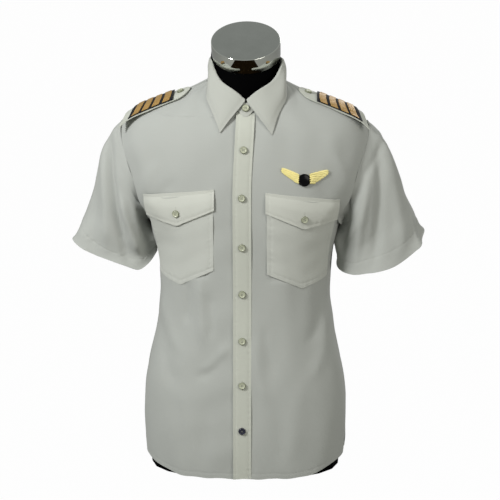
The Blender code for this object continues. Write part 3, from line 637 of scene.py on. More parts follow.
def sewn(node, panel, wall, material, slot="shirt_cloth", ending="_cloth"):
    """A cloth object from a panel: its outer face, its UV map in metres, and its wall inwards."""
    rows, columns = panel.points.shape[:2]
    mesh = bpy.data.meshes.new(node + ending)
    width = columns - 1 if panel.closed else columns
    number = np.arange(rows * width).reshape(rows, width)
    if panel.closed:
        number = np.concatenate((number, number[:, :1]), axis=1)
    faces = np.stack((number[:-1, :-1], number[:-1, 1:], number[1:, 1:], number[1:, :-1]), axis=-1)
    mesh.from_pydata(panel.points[:, :width].reshape(-1, 3).tolist(), [], faces.reshape(-1, 4).tolist())
    flat = mesh.uv_layers.new(name="cloth")
    v, u = np.meshgrid(panel.up, panel.across, indexing="ij")
    uv = np.stack((u, v), axis=-1)
    corner = np.stack((uv[:-1, :-1], uv[:-1, 1:], uv[1:, 1:], uv[1:, :-1]), axis=2)
    flat.data.foreach_set("uv", corner.reshape(-1))
    mesh.materials.append(material)
    mesh.shade_smooth()
    piece = in_scene(node + ending, mesh)
    shell = piece.modifiers.new("wall", "SOLIDIFY")
    shell.thickness = wall
    shell.offset = -1
    shell.use_even_offset = False
    bpy.ops.object.modifier_apply(modifier="wall")
    bpy.ops.object.shade_smooth_by_angle(angle=math.radians(50))
    return fixed(piece, slot, node)


def as_sheet(piece, panel, held="stretched", on=("form_torso",), with_pieces=()):
    """Declares a piece of cloth with the size its pattern piece is cut to, and its outer face's area."""
    flat = (float(panel.across[-1] - panel.across[0]), float(panel.up[-1] - panel.up[0]))
    steps = np.cross(np.diff(panel.points[:-1], axis=1), np.diff(panel.points[:, :-1], axis=0))
    area = min(float(np.linalg.norm(steps, axis=2).sum()), flat[0] * flat[1])
    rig.sheet(piece, flat=flat, held=held, area=area, rests_on=list(on), with_pieces=list(with_pieces))


STITCH_PITCH = 0.0027
STITCH_LENGTH = 0.0019
STITCH_WIDTH = 0.00042
STITCH_SUNK = 0.00008

bpy.ops.mesh.primitive_ico_sphere_add(subdivisions=1, radius=1.0)
bpy.ops.object.mode_set(mode="EDIT")
bpy.ops.transform.resize(value=(STITCH_LENGTH / 2, STITCH_WIDTH / 2, STITCH_WIDTH / 2))
bpy.ops.object.mode_set(mode="OBJECT")
stitch_model = bpy.context.object
stitch_points = np.array([vert.co for vert in stitch_model.data.vertices])
stitch_faces = np.array([tuple(face.vertices) for face in stitch_model.data.polygons])
bpy.data.objects.remove(stitch_model, do_unlink=True)


def seam_path(panel, corners, pitch=STITCH_PITCH):
    """Points and normals at a pitch along a line over a panel, whose corners are (across, up) in metres."""
    spots = []
    for (a0, u0), (a1, u1) in zip(corners, corners[1:]):
        count = max(1, round(math.hypot(a1 - a0, u1 - u0) / 0.003))
        spots += [(a0 + (a1 - a0) * k / count, u0 + (u1 - u0) * k / count) for k in range(count)]
    a, u = np.array([*spots, corners[-1]]).T
    a = np.where(a < 0, panel.across[-1] + a, a)
    u = np.where(u < 0, panel.up[-1] + u, u)
    column = np.interp(a, panel.across, np.arange(len(panel.across)))
    row = np.interp(u, panel.up, np.arange(len(panel.up)))
    c0 = np.clip(column.astype(int), 0, len(panel.across) - 2)
    r0 = np.clip(row.astype(int), 0, len(panel.up) - 2)
    fc, fr = (column - c0)[:, None], (row - r0)[:, None]
    found = []
    for values in (panel.points, panel.normals):
        low = values[r0, c0] * (1 - fc) + values[r0, c0 + 1] * fc
        high = values[r0 + 1, c0] * (1 - fc) + values[r0 + 1, c0 + 1] * fc
        found.append(low * (1 - fr) + high * fr)
    reach = np.concatenate(([0.0], np.cumsum(np.linalg.norm(np.diff(found[0], axis=0), axis=1))))
    at = np.arange(pitch / 2, reach[-1], pitch)
    return [np.stack([np.interp(at, reach, values[:, k]) for k in range(3)], axis=1) for values in found]


def stitches(name, paths, crossed=()):
    """One object with all the stitches of some seams, and of worked edges whose stitches lie crosswise."""
    all_points, all_faces = [], []
    total = 0
    for number, (points, normals) in enumerate([*paths, *crossed]):
        way = np.gradient(points, axis=0)
        way /= np.linalg.norm(way, axis=1, keepdims=True)
        out = normals / np.linalg.norm(normals, axis=1, keepdims=True)
        side = np.cross(out, way)
        if number >= len(paths):
            way, side = side, -way
        axes = np.stack((way, side, out), axis=1)
        placed = np.einsum("pk,nkx->npx", stitch_points, axes) + (points - out * STITCH_SUNK)[:, None, :]
        starts = np.arange(len(points)) * len(stitch_points) + total
        all_points.append(placed.reshape(-1, 3))
        all_faces.append((stitch_faces[None] + starts[:, None, None]).reshape(-1, 3))
        total += len(points) * len(stitch_points)
    mesh = bpy.data.meshes.new(name)
    mesh.from_pydata(np.concatenate(all_points).tolist(), [], np.concatenate(all_faces).tolist())
    mesh.materials.append(thread)
    mesh.shade_smooth()
    return fixed(in_scene(name, mesh), "shirt_cloth")


FINE = 0.0045
SEAM_REACH = 0.00062
HEM_STITCH = 0.009
HEM_LINES = (0.0075, HEM_STITCH, 0.0105)
FRONT_WALL = 0.0009
SEAM_END = 0.002
FRONT_CREASES = {
    "front_right": (
        Crease(-0.099, 0.368, -0.104, 0.292, 0.0062, -0.0030, 0.002),
        Crease(-0.074, 0.378, -0.072, 0.252, 0.0066, 0.0034, -0.003),
        Crease(-0.060, 0.350, -0.056, 0.270, 0.0056, -0.0026, 0.002),
        Crease(-0.026, 0.256, -0.070, 0.206, 0.0090, 0.0026, 0.004),
        Crease(-0.034, 0.236, -0.082, 0.190, 0.0080, -0.0019, 0.004),
        Crease(-0.150, 0.330, -0.118, 0.236, 0.0110, 0.0020, -0.006),
        Crease(-0.152, 0.290, -0.126, 0.170, 0.0120, -0.0022, -0.006),
        Crease(-0.176, 0.450, -0.120, 0.560, 0.0110, -0.0022, 0.010),
        Crease(-0.190, 0.480, -0.150, 0.590, 0.0100, 0.0022, 0.010),
        Crease(-0.120, 0.180, -0.090, 0.030, 0.0160, 0.0018, 0.004),
        Crease(-0.060, 0.150, -0.070, 0.020, 0.0150, -0.0016, -0.004),
    ),
    "front_left": (
        Crease(0.024, 0.270, 0.044, 0.150, 0.0090, 0.0024, -0.004),
        Crease(0.040, 0.290, 0.060, 0.200, 0.0080, -0.0017, -0.004),
        Crease(0.150, 0.350, 0.120, 0.250, 0.0110, -0.0020, 0.006),
        Crease(0.156, 0.310, 0.130, 0.190, 0.0120, 0.0022, 0.006),
        Crease(0.176, 0.450, 0.128, 0.556, 0.0110, -0.0024, -0.010),
        Crease(0.196, 0.490, 0.160, 0.600, 0.0110, 0.0026, -0.012),
        Crease(0.172, 0.560, 0.150, 0.640, 0.0120, 0.0014, -0.006),
        Crease(0.110, 0.190, 0.092, 0.040, 0.0160, 0.0018, -0.004),
        Crease(0.060, 0.160, 0.070, 0.030, 0.0140, -0.0015, 0.004),
    ),
}
POCKET_PLACES = {
    "front_right": Place(-0.182, -0.058, 0.376, 0.5410, 0.056),
    "front_left": Place(0.046, 0.180, 0.370, 0.5355, -0.105),
}
POCKET_PRESS = 0.0018


def hemmed(node, panel):
    """A panel's cloth object with its stitched hem."""
    panel = grooved(puckered(panel, up=(HEM_STITCH,)), up=(HEM_STITCH,), depth=0.0003)
    piece = sewn(node, panel, FRONT_WALL, single_cloth)
    hem = seam_path(panel, [(SEAM_END, HEM_STITCH), (panel.across[-1] - SEAM_END, HEM_STITCH)])
    as_sheet(piece, panel, with_pieces=[stitches(node + "_stitches", [hem])])


for node, creases in FRONT_CREASES.items():
    front = cut(node, FINE, reach=SEAM_REACH, up=HEM_LINES)
    front = relaxed(evened(reshaped(front, settled(front.points))))
    front = creased(front._replace(points=let_down(front.points)), creases)
    hemmed(node, tucked(uneven(front, 0.0007, 0.060), POCKET_PLACES[node], POCKET_PRESS))


# Back
# One panel of one layer from the yoke seam to the hem, hanging a little fuller than the fronts.

BACK_CREASES = (
    Crease(-0.110, 0.470, -0.096, 0.300, 0.0130, 0.0026, 0.006),
    Crease(-0.070, 0.430, -0.064, 0.240, 0.0120, -0.0022, -0.005),
    Crease(-0.030, 0.400, -0.036, 0.210, 0.0110, 0.0020, 0.004),
    Crease(0.022, 0.420, 0.018, 0.230, 0.0120, -0.0020, 0.003),
    Crease(0.062, 0.410, 0.072, 0.250, 0.0110, 0.0022, -0.004),
    Crease(0.112, 0.460, 0.098, 0.280, 0.0130, -0.0024, -0.006),
    Crease(-0.170, 0.460, -0.120, 0.560, 0.0110, 0.0024, -0.008),
    Crease(0.172, 0.455, 0.124, 0.560, 0.0110, 0.0022, 0.008),
    Crease(-0.140, 0.340, -0.080, 0.290, 0.0100, -0.0016, 0.005),
    Crease(0.138, 0.330, 0.084, 0.276, 0.0100, 0.0016, -0.005),
    Crease(-0.090, 0.200, -0.110, 0.040, 0.0180, 0.0022, 0.004),
    Crease(0.030, 0.190, 0.036, 0.040, 0.0170, -0.0018, 0.004),
    Crease(0.100, 0.210, 0.118, 0.050, 0.0180, 0.0020, -0.004),
)

back = relaxed(evened(cut("back", FINE, reach=SEAM_REACH, up=HEM_LINES)))
hemmed("back", uneven(creased(back, BACK_CREASES), 0.0009, 0.070))


# Yoke
# Two layers across the shoulders, sewn over the back with a line of stitches close to its lower edge and
# over the fronts along the shoulder seams.

YOKE_WALL = 0.0013
YOKE_STITCH = 0.0022

yoke = cut("yoke", FINE, reach=SEAM_REACH, up=(0.0015, 0.0030))
yoke = grooved(yoke, up=(YOKE_STITCH,), depth=0.00025)
yoke_piece = sewn("yoke", yoke, YOKE_WALL, single_cloth)
yoke_seam = seam_path(yoke, [(SEAM_END, YOKE_STITCH), (yoke.across[-1] - SEAM_END, YOKE_STITCH)])
as_sheet(yoke_piece, yoke, with_pieces=[stitches("yoke_stitches", [yoke_seam])])


# Sleeves
# Short set-in sleeves of one layer. Each hangs from its armhole in a few long folds, and its lower edge is a
# turned-up hem of two layers, stitched about 25 mm above the edge.

CUFF_STITCH = 0.0260
CUFF_LINES = (CUFF_STITCH - 0.0016, CUFF_STITCH, CUFF_STITCH + 0.0016, 0.0015, 0.003)
HEAD_SUNK = 0.0003
SLEEVE_CREASES = {
    "sleeve_right": (
        Crease(-0.259, 0.600, -0.253, 0.420, 0.0080, 0.0050, 0.000),
        Crease(-0.248, 0.622, -0.214, 0.400, 0.0075, -0.0110, -0.007),
        Crease(-0.224, 0.520, -0.192, 0.400, 0.0075, 0.0070, -0.002),
        Crease(-0.196, 0.560, -0.172, 0.405, 0.0090, -0.0100, 0.002),
        Crease(-0.276, 0.540, -0.282, 0.410, 0.0080, -0.0030, 0.001),
        Crease(-0.298, 0.510, -0.306, 0.430, 0.0075, 0.0022, 0.001),
    ),
    "sleeve_left": (
        Crease(0.226, 0.560, 0.205, 0.380, 0.0090, 0.0048, -0.002),
        Crease(0.246, 0.606, 0.236, 0.390, 0.0095, -0.0064, 0.006),
        Crease(0.262, 0.590, 0.292, 0.415, 0.0115, 0.0048, 0.003),
        Crease(0.193, 0.540, 0.178, 0.410, 0.0090, -0.0105, -0.002),
        Crease(0.256, 0.628, 0.214, 0.556, 0.0065, -0.0024, 0.004),
        Crease(0.292, 0.540, 0.318, 0.430, 0.0085, -0.0028, 0.001),
    ),
}
Push = namedtuple("Push", "x y z reach dx dy dz")
SLEEVE_PUSHES = {
    "sleeve_right": (
        Push(-0.205, -0.042, 0.386, 0.026, 0.003, 0.0, -0.007),
        Push(-0.178, -0.008, 0.436, 0.032, 0.0125, 0.0, 0.0),
        Push(-0.172, -0.010, 0.402, 0.022, 0.003, 0.0, 0.012),
        Push(-0.186, -0.002, 0.430, 0.040, 0.0125, 0.0, 0.0),
        Push(-0.202, -0.042, 0.385, 0.013, 0.0, 0.0, -0.0055),
        Push(-0.285, 0.0, 0.552, 0.060, 0.0065, 0.0, 0.0),
        Push(-0.304, 0.0, 0.482, 0.052, 0.0075, 0.0, 0.0),
        Push(-0.314, -0.005, 0.398, 0.042, 0.003, 0.0, 0.0065),
    ),
    "sleeve_left": (
        Push(0.240, -0.030, 0.380, 0.055, 0.0, 0.0, 0.0090),
        Push(0.208, -0.040, 0.384, 0.014, 0.0, 0.0, -0.0040),
        Push(0.325, -0.010, 0.400, 0.036, -0.002, 0.0, 0.0130),
        Push(0.182, -0.015, 0.430, 0.040, -0.008, 0.0, 0.0),
        Push(0.180, -0.010, 0.462, 0.024, -0.006, 0.0, 0.0),
        Push(0.186, -0.008, 0.424, 0.030, -0.0110, 0.0, 0.0),
        Push(0.276, 0.0, 0.562, 0.060, -0.0062, 0.0, 0.0),
        Push(0.331, -0.005, 0.438, 0.034, -0.0075, 0.0, 0.0),
    ),
}


def pushed(panel, pushes):
    """A panel with parts of it moved a few millimetres, each fading out over its reach."""
    points = panel.points.copy()
    for push in pushes:
        apart = ((panel.points - np.array((push.x, push.y, push.z))) ** 2).sum(axis=2)
        points += np.exp(-apart / push.reach**2)[:, :, None] * np.array((push.dx, push.dy, push.dz))
    return reshaped(panel, points)


def hem_straightened(panel, reach=0.032, share=0.70):
    """A sleeve whose hem goes on in line with the cloth above it rather than curling."""
    points = panel.points.copy()
    last = int(np.searchsorted(panel.up, reach))
    over = int(np.searchsorted(panel.up, reach * 2))
    way = (points[over] - points[last]) / (panel.up[over] - panel.up[last])
    for row in range(last):
        straight = points[last] - way * (panel.up[last] - panel.up[row])
        points[row] += (straight - points[row]) * share
    return reshaped(panel, points)


for node, creases in SLEEVE_CREASES.items():
    sleeve = pushed(hem_straightened(cut(node, 0.0040, reach=0.0040, up=CUFF_LINES)), SLEEVE_PUSHES[node])
    head = eased((sleeve.up - sleeve.up[-1] + 0.016) / 0.012)[:, None, None]
    sleeve = sleeve._replace(points=sleeve.points - sleeve.normals * head * HEAD_SUNK)
    sleeve = uneven(creased(sleeve, creases), 0.0005, 0.080)
    sleeve = puckered(sleeve, up=(CUFF_STITCH,), height=0.0005, pitch=0.011)
    sleeve = grooved(sleeve, up=(CUFF_STITCH,), depth=0.0004, width=0.0014)
    piece = sewn(node, sleeve, FRONT_WALL, single_cloth)
    cuff = seam_path(sleeve, [(0.0, CUFF_STITCH), (sleeve.across[-1], CUFF_STITCH)])
    as_sheet(piece, sleeve, held="hung", with_pieces=[stitches(node + "_stitches", [cuff])])


# Placket
# The strip of two layers that the buttonholes are in, topstitched along both edges. Two layers look lighter
# and warmer than one, as the black form shows through less.

TWO_LAYERS = (0.532, 0.548, 0.482)
PLACKET_WALL = 0.0013
PLACKET_STITCH = 0.0050
PLACKET_LINES = (PLACKET_STITCH, -PLACKET_STITCH)
PLACKET_NARROWER = (0.94, 1.0, 1.0)
PLACKET_LONGER = 0.0110
HOLE_LENGTH = 0.0150
HOLE_PITCH = 0.0008
HIGHER = {"button_3": 0.0030, "button_7": 0.0050, "button_8": 0.0066}

double_cloth = poplin("poplin_two_layers", TWO_LAYERS)


def buttonhole(panel, across, up):
    """Two rows of close stitches with the slit between them, along a panel's columns."""
    half = HOLE_LENGTH / 2
    return [
        seam_path(panel, [(across + off, up - half), (across + off, up + half)], HOLE_PITCH)
        for off in (-HOLE_PITCH, HOLE_PITCH)
    ]


def nearest_on(panel, point):
    """The place over a panel, in metres across and up, that is nearest to a point."""
    apart = ((panel.points - np.array(point)) ** 2).sum(axis=2)
    row, column = np.unravel_index(int(apart.argmin()), apart.shape)
    return float(panel.across[column]), float(panel.up[row])


def solid_points(node):
    return np.array([vert.co for vert in frame["nodes"][node].data.vertices])


def node_middle(node):
    points = solid_points(node)
    return (points.min(axis=0) + points.max(axis=0)) / 2


def button_raised(point, node):
    """The place of a front button, a little higher than the solid's where the photo shows it so."""
    return point + np.array((0.0, 0.0, HIGHER.get(node, 0.0)))


placket = cut("placket", 0.003, across=PLACKET_LINES)
middle = placket.points.mean(axis=1, keepdims=True)
narrowed = middle + (placket.points - middle) * np.array(PLACKET_NARROWER)
rising = narrowed[-1] - narrowed[-2]
top_row = narrowed[-1] + rising / np.linalg.norm(rising, axis=1, keepdims=True) * PLACKET_LONGER
top_row[:, 1] += 0.0030
points = np.concatenate((narrowed, top_row[None]))
placket = placket._replace(up=np.append(placket.up, placket.up[-1] + PLACKET_LONGER))
placket = reshaped(placket, settled(points))
placket = placket._replace(points=let_down(placket.points))
sides = placket.points[:, :, 0]
over = (sides - sides.min(axis=1, keepdims=True)) / np.ptp(sides, axis=1)[:, None]
lie = 0.0006 - 0.0017 * over
placket = placket._replace(points=placket.points + placket.normals * lie[:, :, None])
placket = grooved(puckered(placket, across=PLACKET_LINES, height=0.0002), across=PLACKET_LINES)
placket_piece = sewn("placket", placket, PLACKET_WALL, double_cloth)
placket_top = placket.up[-1] - SEAM_END
placket_seams = [seam_path(placket, [(line, SEAM_END), (line, placket_top)]) for line in PLACKET_LINES]
placket_holes = []
for node in [f"button_{number}" for number in range(2, 9)]:
    across, up = nearest_on(placket, settled(button_raised(node_middle(node), node)))
    placket_holes += buttonhole(placket, placket.across[-1] / 2, up)
placket_thread = stitches("placket_stitches", placket_seams, crossed=placket_holes)
as_sheet(placket_piece, placket, on=("front_left", "front_right"), with_pieces=[placket_thread])


# Collar
# A stand of two layers and interlining round the neck, and a pointed leaf folded down over it, topstitched
# 6 mm from its edges. It lies open in a bowl at the throat and a little narrower than its solid.

# The collar's colour is the two layers' tone darkened by painted shade, which offsets the key light that its upturned
# faces catch.
COLLAR_LAYERS_SHADED = (0.454, 0.466, 0.424)
STAND_WALL = 0.0018
COLLAR_WALL = 0.0013
COLLAR_STITCH = 0.0060
COLLAR_LINES = (COLLAR_STITCH, -COLLAR_STITCH)
BOWL_ANGLE = 40
BOWL_WIDTH = 24
BOWL_DEPTH = 0.0140
FOLD_MARGIN = 0.016
LEAF_PUSHES = (
    Push(-0.044, -0.113, 0.643, 0.022, 0.0045, 0.0, 0.0),
    Push(0.054, -0.113, 0.643, 0.022, 0.0, 0.0, -0.0035),
)

collar_cloth_shaded = poplin("poplin_collar", COLLAR_LAYERS_SHADED)


def eased_open(points, full):
    """Lowers the fold beside the throat, where the collar lies open in a bowl rather than a straight V."""
    turn = np.degrees(np.arctan2(np.abs(points[..., 0]), -points[..., 1] - 0.010))
    bowl = np.exp(-(((turn - BOWL_ANGLE) / BOWL_WIDTH) ** 2))
    moved = points.copy()
    moved[..., 2] -= BOWL_DEPTH * bowl * full
    return moved


stand = cut("collar_stand", 0.003)
share = eased(stand.up / stand.up[-1])[:, None]
stand = reshaped(stand, settled(eased_open(stand.points, share)))
as_sheet(sewn("collar_stand", stand, STAND_WALL, collar_cloth_shaded), stand, on=("yoke",))

leaf = cut("collar", 0.003, across=COLLAR_LINES, up=(COLLAR_STITCH,))
share = eased(leaf.up / (leaf.up[-1] - 0.012))[:, None]
spread = eased_open(leaf.points, share)
beside = eased((spread[..., 1] + 0.105) / 0.060) * (1 - share * 0.55)
past = np.maximum(0.0, np.abs(spread[..., 0]) - 0.060) * 0.50 * beside
spread[..., 2] += past * 0.40
spread[..., 0] -= np.sign(spread[..., 0]) * past
leaf = pushed(leaf._replace(points=settled(spread)), LEAF_PUSHES)
leaf = grooved(leaf, across=COLLAR_LINES, up=(COLLAR_STITCH,))
leaf_piece = sewn("collar", leaf, COLLAR_WALL, collar_cloth_shaded)
fold, far = leaf.up[-1] - FOLD_MARGIN, leaf.across[-1] - COLLAR_STITCH
corners = [(COLLAR_STITCH, fold), (COLLAR_STITCH, COLLAR_STITCH), (far, COLLAR_STITCH), (far, fold)]
leaf_thread = stitches("collar_stitches", [seam_path(leaf, corners)])
as_sheet(leaf_piece, leaf, held="folded", on=("collar_stand",), with_pieces=[leaf_thread])


# Pockets and flaps
# Patch pockets with a pointed foot, edge stitched to the fronts. Each lies under a pointed flap of two layers
# that is stitched all round and has a buttonhole.

POCKET_LAYERS = (0.535, 0.550, 0.505)
# The flap's colour is lighter than the pocket's: partly its four layers over the black form, and partly a painted
# highlight for its tilt towards the light.
FLAP_LAYERS_AND_HIGHLIGHT = (0.575, 0.588, 0.532)
POCKET_WALL = 0.0011
FLAP_WALL = 0.0013
POCKET_STITCH = 0.0080
FLAP_STITCH = 0.0055
POCKET_LINES = (POCKET_STITCH, -POCKET_STITCH)
FLAP_LINES = (FLAP_STITCH, -FLAP_STITCH)
POCKET_CLOSER = 0.0010
HOLE_ABOVE = 0.0035
FLAP_BUTTON_RISE = {"right": 0.0085, "left": 0.0066}

flap_cloth_highlit = poplin("poplin_flap", FLAP_LAYERS_AND_HIGHLIGHT)
pocket_cloth = poplin("poplin_pocket", POCKET_LAYERS)
flap_places = {}

for side in ("right", "left"):
    node = "pocket_" + side
    bag = cut(node, 0.003, across=POCKET_LINES, up=(POCKET_STITCH,))
    bag = uneven(bag._replace(points=bag.points - bag.normals * POCKET_CLOSER), 0.0004, 0.050)
    bag = puckered(bag, up=(POCKET_STITCH,), across=POCKET_LINES, height=0.0003)
    bag = grooved(bag, across=POCKET_LINES, up=(POCKET_STITCH,), depth=0.0004)
    piece = sewn(node, bag, POCKET_WALL, pocket_cloth)
    near, far, top = POCKET_STITCH, bag.across[-1] - POCKET_STITCH, bag.up[-1]
    seam = seam_path(bag, [(near, top), (near, near), (far, near), (far, top)])
    as_sheet(piece, bag, on=("front_" + side,), with_pieces=[stitches(node + "_stitches", [seam])])

    node = "pocket_flap_" + side
    flap = cut(node, 0.003, across=FLAP_LINES, up=FLAP_LINES)
    down = 0.0009 + 0.0024 * eased((flap.up / flap.up[-1] - 0.50) / 0.45)
    flap = uneven(flap._replace(points=flap.points - flap.normals * down[:, None, None]), 0.0003, 0.045)
    flap = puckered(flap, up=(FLAP_STITCH,), height=0.0003)
    flap = grooved(flap, across=FLAP_LINES, up=FLAP_LINES, depth=0.0004)
    piece = sewn(node, flap, FLAP_WALL, flap_cloth_highlit)
    near, far, top = FLAP_STITCH, flap.across[-1] - FLAP_STITCH, flap.up[-1] - FLAP_STITCH
    seam = seam_path(flap, [(near, top), (near, near), (far, near), (far, top), (near, top)])
    across, up = nearest_on(flap, node_middle("pocket_button_" + side))
    up += FLAP_BUTTON_RISE[side]
    spot = int(np.abs(flap.up - up).argmin()), int(np.abs(flap.across - across).argmin())
    flap_places[side] = (flap.points[spot], flap.normals[spot])
    flap_thread = stitches(node + "_stitches", [seam], crossed=buttonhole(flap, across, up + HOLE_ABOVE))
    as_sheet(piece, flap, on=("pocket_" + side,), with_pieces=[flap_thread])


# Shoulder straps, boards and braid
# Straps of two layers sewn into the sleeve heads and buttoned by the collar. A stiff board covered in black
# wool cloth is pushed on each, with four bars of gold braid across it.

STRAP_WALL = 0.0012
STRAP_STITCH = 0.0050
STRAP_LINES = (STRAP_STITCH, -STRAP_STITCH)
STRAP_RAISE = 0.0012
BOARD_WALL = 0.0020
BOARD_SHIFT = {"right": 0.0078, "left": 0.0035}
# The braid's gold runs from painted shade between its ribs to a painted highlight on their crowns.
BRAID_SHADED_GOLD = (0.36, 0.21, 0.055)
BRAID_HIGHLIT_GOLD = (0.80, 0.50, 0.165)
BRAID_WALL = 0.0009
BRAID_ABOVE = 0.0010
BRAID_BOW = 0.0030
BRAID_RIB = 0.0011
BAR_PLACES = ((0.090, 0.252), (0.320, 0.472), (0.543, 0.694), (0.770, 0.922))
BAR_ROWS = 14


def gold_braid():
    """Flat braid of metal thread: fine slanting ribs that cross, with a painted highlight on their crowns and painted
    shade between them.
    """
    material, shader = new_material("gold_braid_woven", {"Roughness": 0.42, "Metallic": 0.25})
    flat = add_node(material, "ShaderNodeUVMap", uv_map="cloth")
    crossed = add_node(material, "ShaderNodeMath", operation="MULTIPLY")
    wave = {"Scale": math.pi / (10 * BRAID_RIB), "Distortion": 0.3}
    for socket, turn in enumerate((0.9, -0.9)):
        slant = add_node(material, "ShaderNodeMapping", {"Rotation": (0.0, 0.0, turn)})
        ribs = add_node(material, "ShaderNodeTexWave", wave, wave_type="BANDS", bands_direction="X")
        wire(material, flat, "UV", slant, "Vector")
        wire(material, slant, "Vector", ribs, "Vector")
        wire(material, ribs, "Fac", crossed, socket)
    tinted(material, shader, BRAID_SHADED_GOLD, BRAID_HIGHLIT_GOLD, crossed, "Value")
    embossed(material, shader, 0.6, 0.0003, crossed, "Value")
    return material


braid = gold_braid()
board_black = grained(
    "black_board_cloth",
    {"Roughness": 0.9, "Specular IOR Level": 0.15, "Sheen Weight": 0.1},
    (0.004, 0.004, 0.005),
    (0.014, 0.014, 0.017),
    {"Scale": 700.0},
    relief=(0.3, 0.0002),
)


def strip_over(board, low, high):
    """A strip of braid across a board, a little above it, with slightly bowed edges."""
    share = np.linspace(0.0, 1.0, len(board.across))
    bend = BRAID_BOW * (1 - (2 * share - 1) ** 2)
    column = np.arange(len(share))
    points = []
    for t in np.linspace(low, high, BAR_ROWS):
        at = np.interp(t + bend, board.up, np.arange(len(board.up)))
        row = np.clip(at.astype(int), 0, len(board.up) - 2)
        part = (at - row)[:, None]
        points.append(board.points[row, column] * (1 - part) + board.points[row + 1, column] * part)
    points = np.array(points)
    points += normals_of(points) * BRAID_ABOVE
    return Panel(points, normals_of(points), board.across, np.linspace(0.0, high - low, BAR_ROWS), False)


for side, inwards in (("right", (1.0, 0.0, 0.0)), ("left", (-1.0, 0.0, 0.0))):
    node = "epaulette_" + side
    strap = cut(node, 0.003, rise=inwards, facing=UP, across=STRAP_LINES)
    strap = strap._replace(points=strap.points + strap.normals * STRAP_RAISE)
    strap = grooved(strap, across=STRAP_LINES, depth=0.0003)
    piece = sewn(node, strap, STRAP_WALL, double_cloth)
    seams = [seam_path(strap, [(line, SEAM_END), (line, strap.up[-1] - 0.004)]) for line in STRAP_LINES]
    strap_thread = stitches(node + "_stitches", seams)
    as_sheet(piece, strap, held="laid", on=("yoke", "front_" + side), with_pieces=[strap_thread])

    node = "board_" + side
    board = cut(node, 0.003, rise=inwards, facing=UP)
    board = board._replace(points=board.points + board.normals * STRAP_RAISE)
    along = board.points[-1].mean(axis=0) - board.points[0].mean(axis=0)
    board = board._replace(points=board.points + along / np.linalg.norm(along) * BOARD_SHIFT[side])
    piece = sewn(node, board, BOARD_WALL, board_black, slot="board_cloth")
    as_sheet(piece, board, held="laid", on=("epaulette_" + side,))
    for number, (low, high) in enumerate(BAR_PLACES, start=1):
        bar = strip_over(board, low * board.up[-1], high * board.up[-1])
        piece = sewn(f"{node}_bar_{number}", bar, BRAID_WALL, braid, slot="gold_braid", ending="_braid")
        as_sheet(piece, bar, held="laid", on=(node,))


# Buttons
# Pearly four-hole shirt buttons of cast resin, sewn on with crossed thread; their rim is coloured darker as painted
# shade, for the shadow where they meet the cloth. One is modelled and copied to each place; the lowest on the placket
# is a dark one.

BUTTON_HALF = 0.0067
BUTTON_HEIGHT = 0.0026
BUTTON_RIM = 0.84
BUTTON_STEPS = (
    (1.06, 0.20),
    (1.00, 0.40),
    (0.97, 0.28),
    (0.93, 0.20),
    (0.92, 0.12),
    (0.90, 0.00),
    (0.92, -0.16),
    (0.86, -0.12),
)
EYE_HALF = 0.00078
EYE_OFF = 0.00115
THREAD_OFF = 0.00105


def resin(name, dark, light, shine, **values):
    """Cast resin with a cloudy grain."""
    values = {"Roughness": shine, "Coat Weight": 0.25, "Coat Roughness": 0.12, **values}
    return grained(name, values, dark, light, {"Scale": 320.0, "Distortion": 1.2})


pearl = resin("button_pearl", (0.36, 0.38, 0.27), (0.58, 0.60, 0.46), 0.32)
# The rim is coloured darker as painted shade: the shadow where the button meets the cloth and the shade on its turned
# edge.
pearl_rim_shaded = resin("button_pearl_rim", (0.16, 0.17, 0.11), (0.26, 0.28, 0.19), 0.40)
dark_resin = resin("button_dark", (0.006, 0.007, 0.018), (0.020, 0.022, 0.045), 0.22)


def turned_disc(sides, half, steps):
    """A round object on its flat foot, raised in steps of (width against the last, height in metres)."""
    bpy.ops.object.select_all(action="DESELECT")
    bpy.ops.mesh.primitive_circle_add(vertices=sides, radius=half, fill_type="NGON")
    bpy.ops.object.mode_set(mode="EDIT")
    bpy.ops.mesh.select_all(action="SELECT")
    for wide, rise in steps:
        bpy.ops.mesh.extrude_region_move(TRANSFORM_OT_translate={"value": (0.0, 0.0, rise)})
        bpy.ops.transform.resize(value=(wide, wide, 1.0))
    bpy.ops.mesh.select_all(action="SELECT")
    bpy.ops.mesh.normals_make_consistent(inside=False)
    bpy.ops.object.mode_set(mode="OBJECT")
    return bpy.context.object


button_steps = [(wide, BUTTON_HEIGHT * rise) for wide, rise in BUTTON_STEPS]
button_model = turned_disc(32, BUTTON_HALF * 0.94, button_steps)
for x, y in ((1, 1), (1, -1), (-1, 1), (-1, -1)):
    bpy.ops.mesh.primitive_cylinder_add(
        vertices=12, radius=EYE_HALF, depth=0.02, location=(x * EYE_OFF, y * EYE_OFF, 0.0)
    )
    eye = bpy.context.object
    bpy.context.view_layer.objects.active = button_model
    drill = button_model.modifiers.new("eye", "BOOLEAN")
    drill.object = eye
    drill.operation = "DIFFERENCE"
    drill.solver = "EXACT"
    bpy.ops.object.modifier_apply(modifier="eye")
    bpy.data.objects.remove(eye, do_unlink=True)
button_shape = button_model.data
button_shape.materials.clear()
for face in button_shape.polygons:
    face.material_index = 1 if face.center.xy.length > BUTTON_HALF * BUTTON_RIM else 0
bpy.data.objects.remove(button_model, do_unlink=True)


def turn_to(axis):
    return Vector(axis).to_track_quat("Z", "Y").to_matrix().to_4x4()


def stand_at(node, out_guess):
    """The foot and turn of a flat round node: the middle of its back, and its axis as +Z."""
    points = np.unique(np.round(solid_points(node), 6), axis=0)
    middle = points.mean(axis=0)
    axis = np.linalg.svd(points - middle)[2][2]
    axis = axis if axis @ np.array(out_guess) > 0 else -axis
    return middle + axis * ((points - middle) @ axis).min(), turn_to(axis)


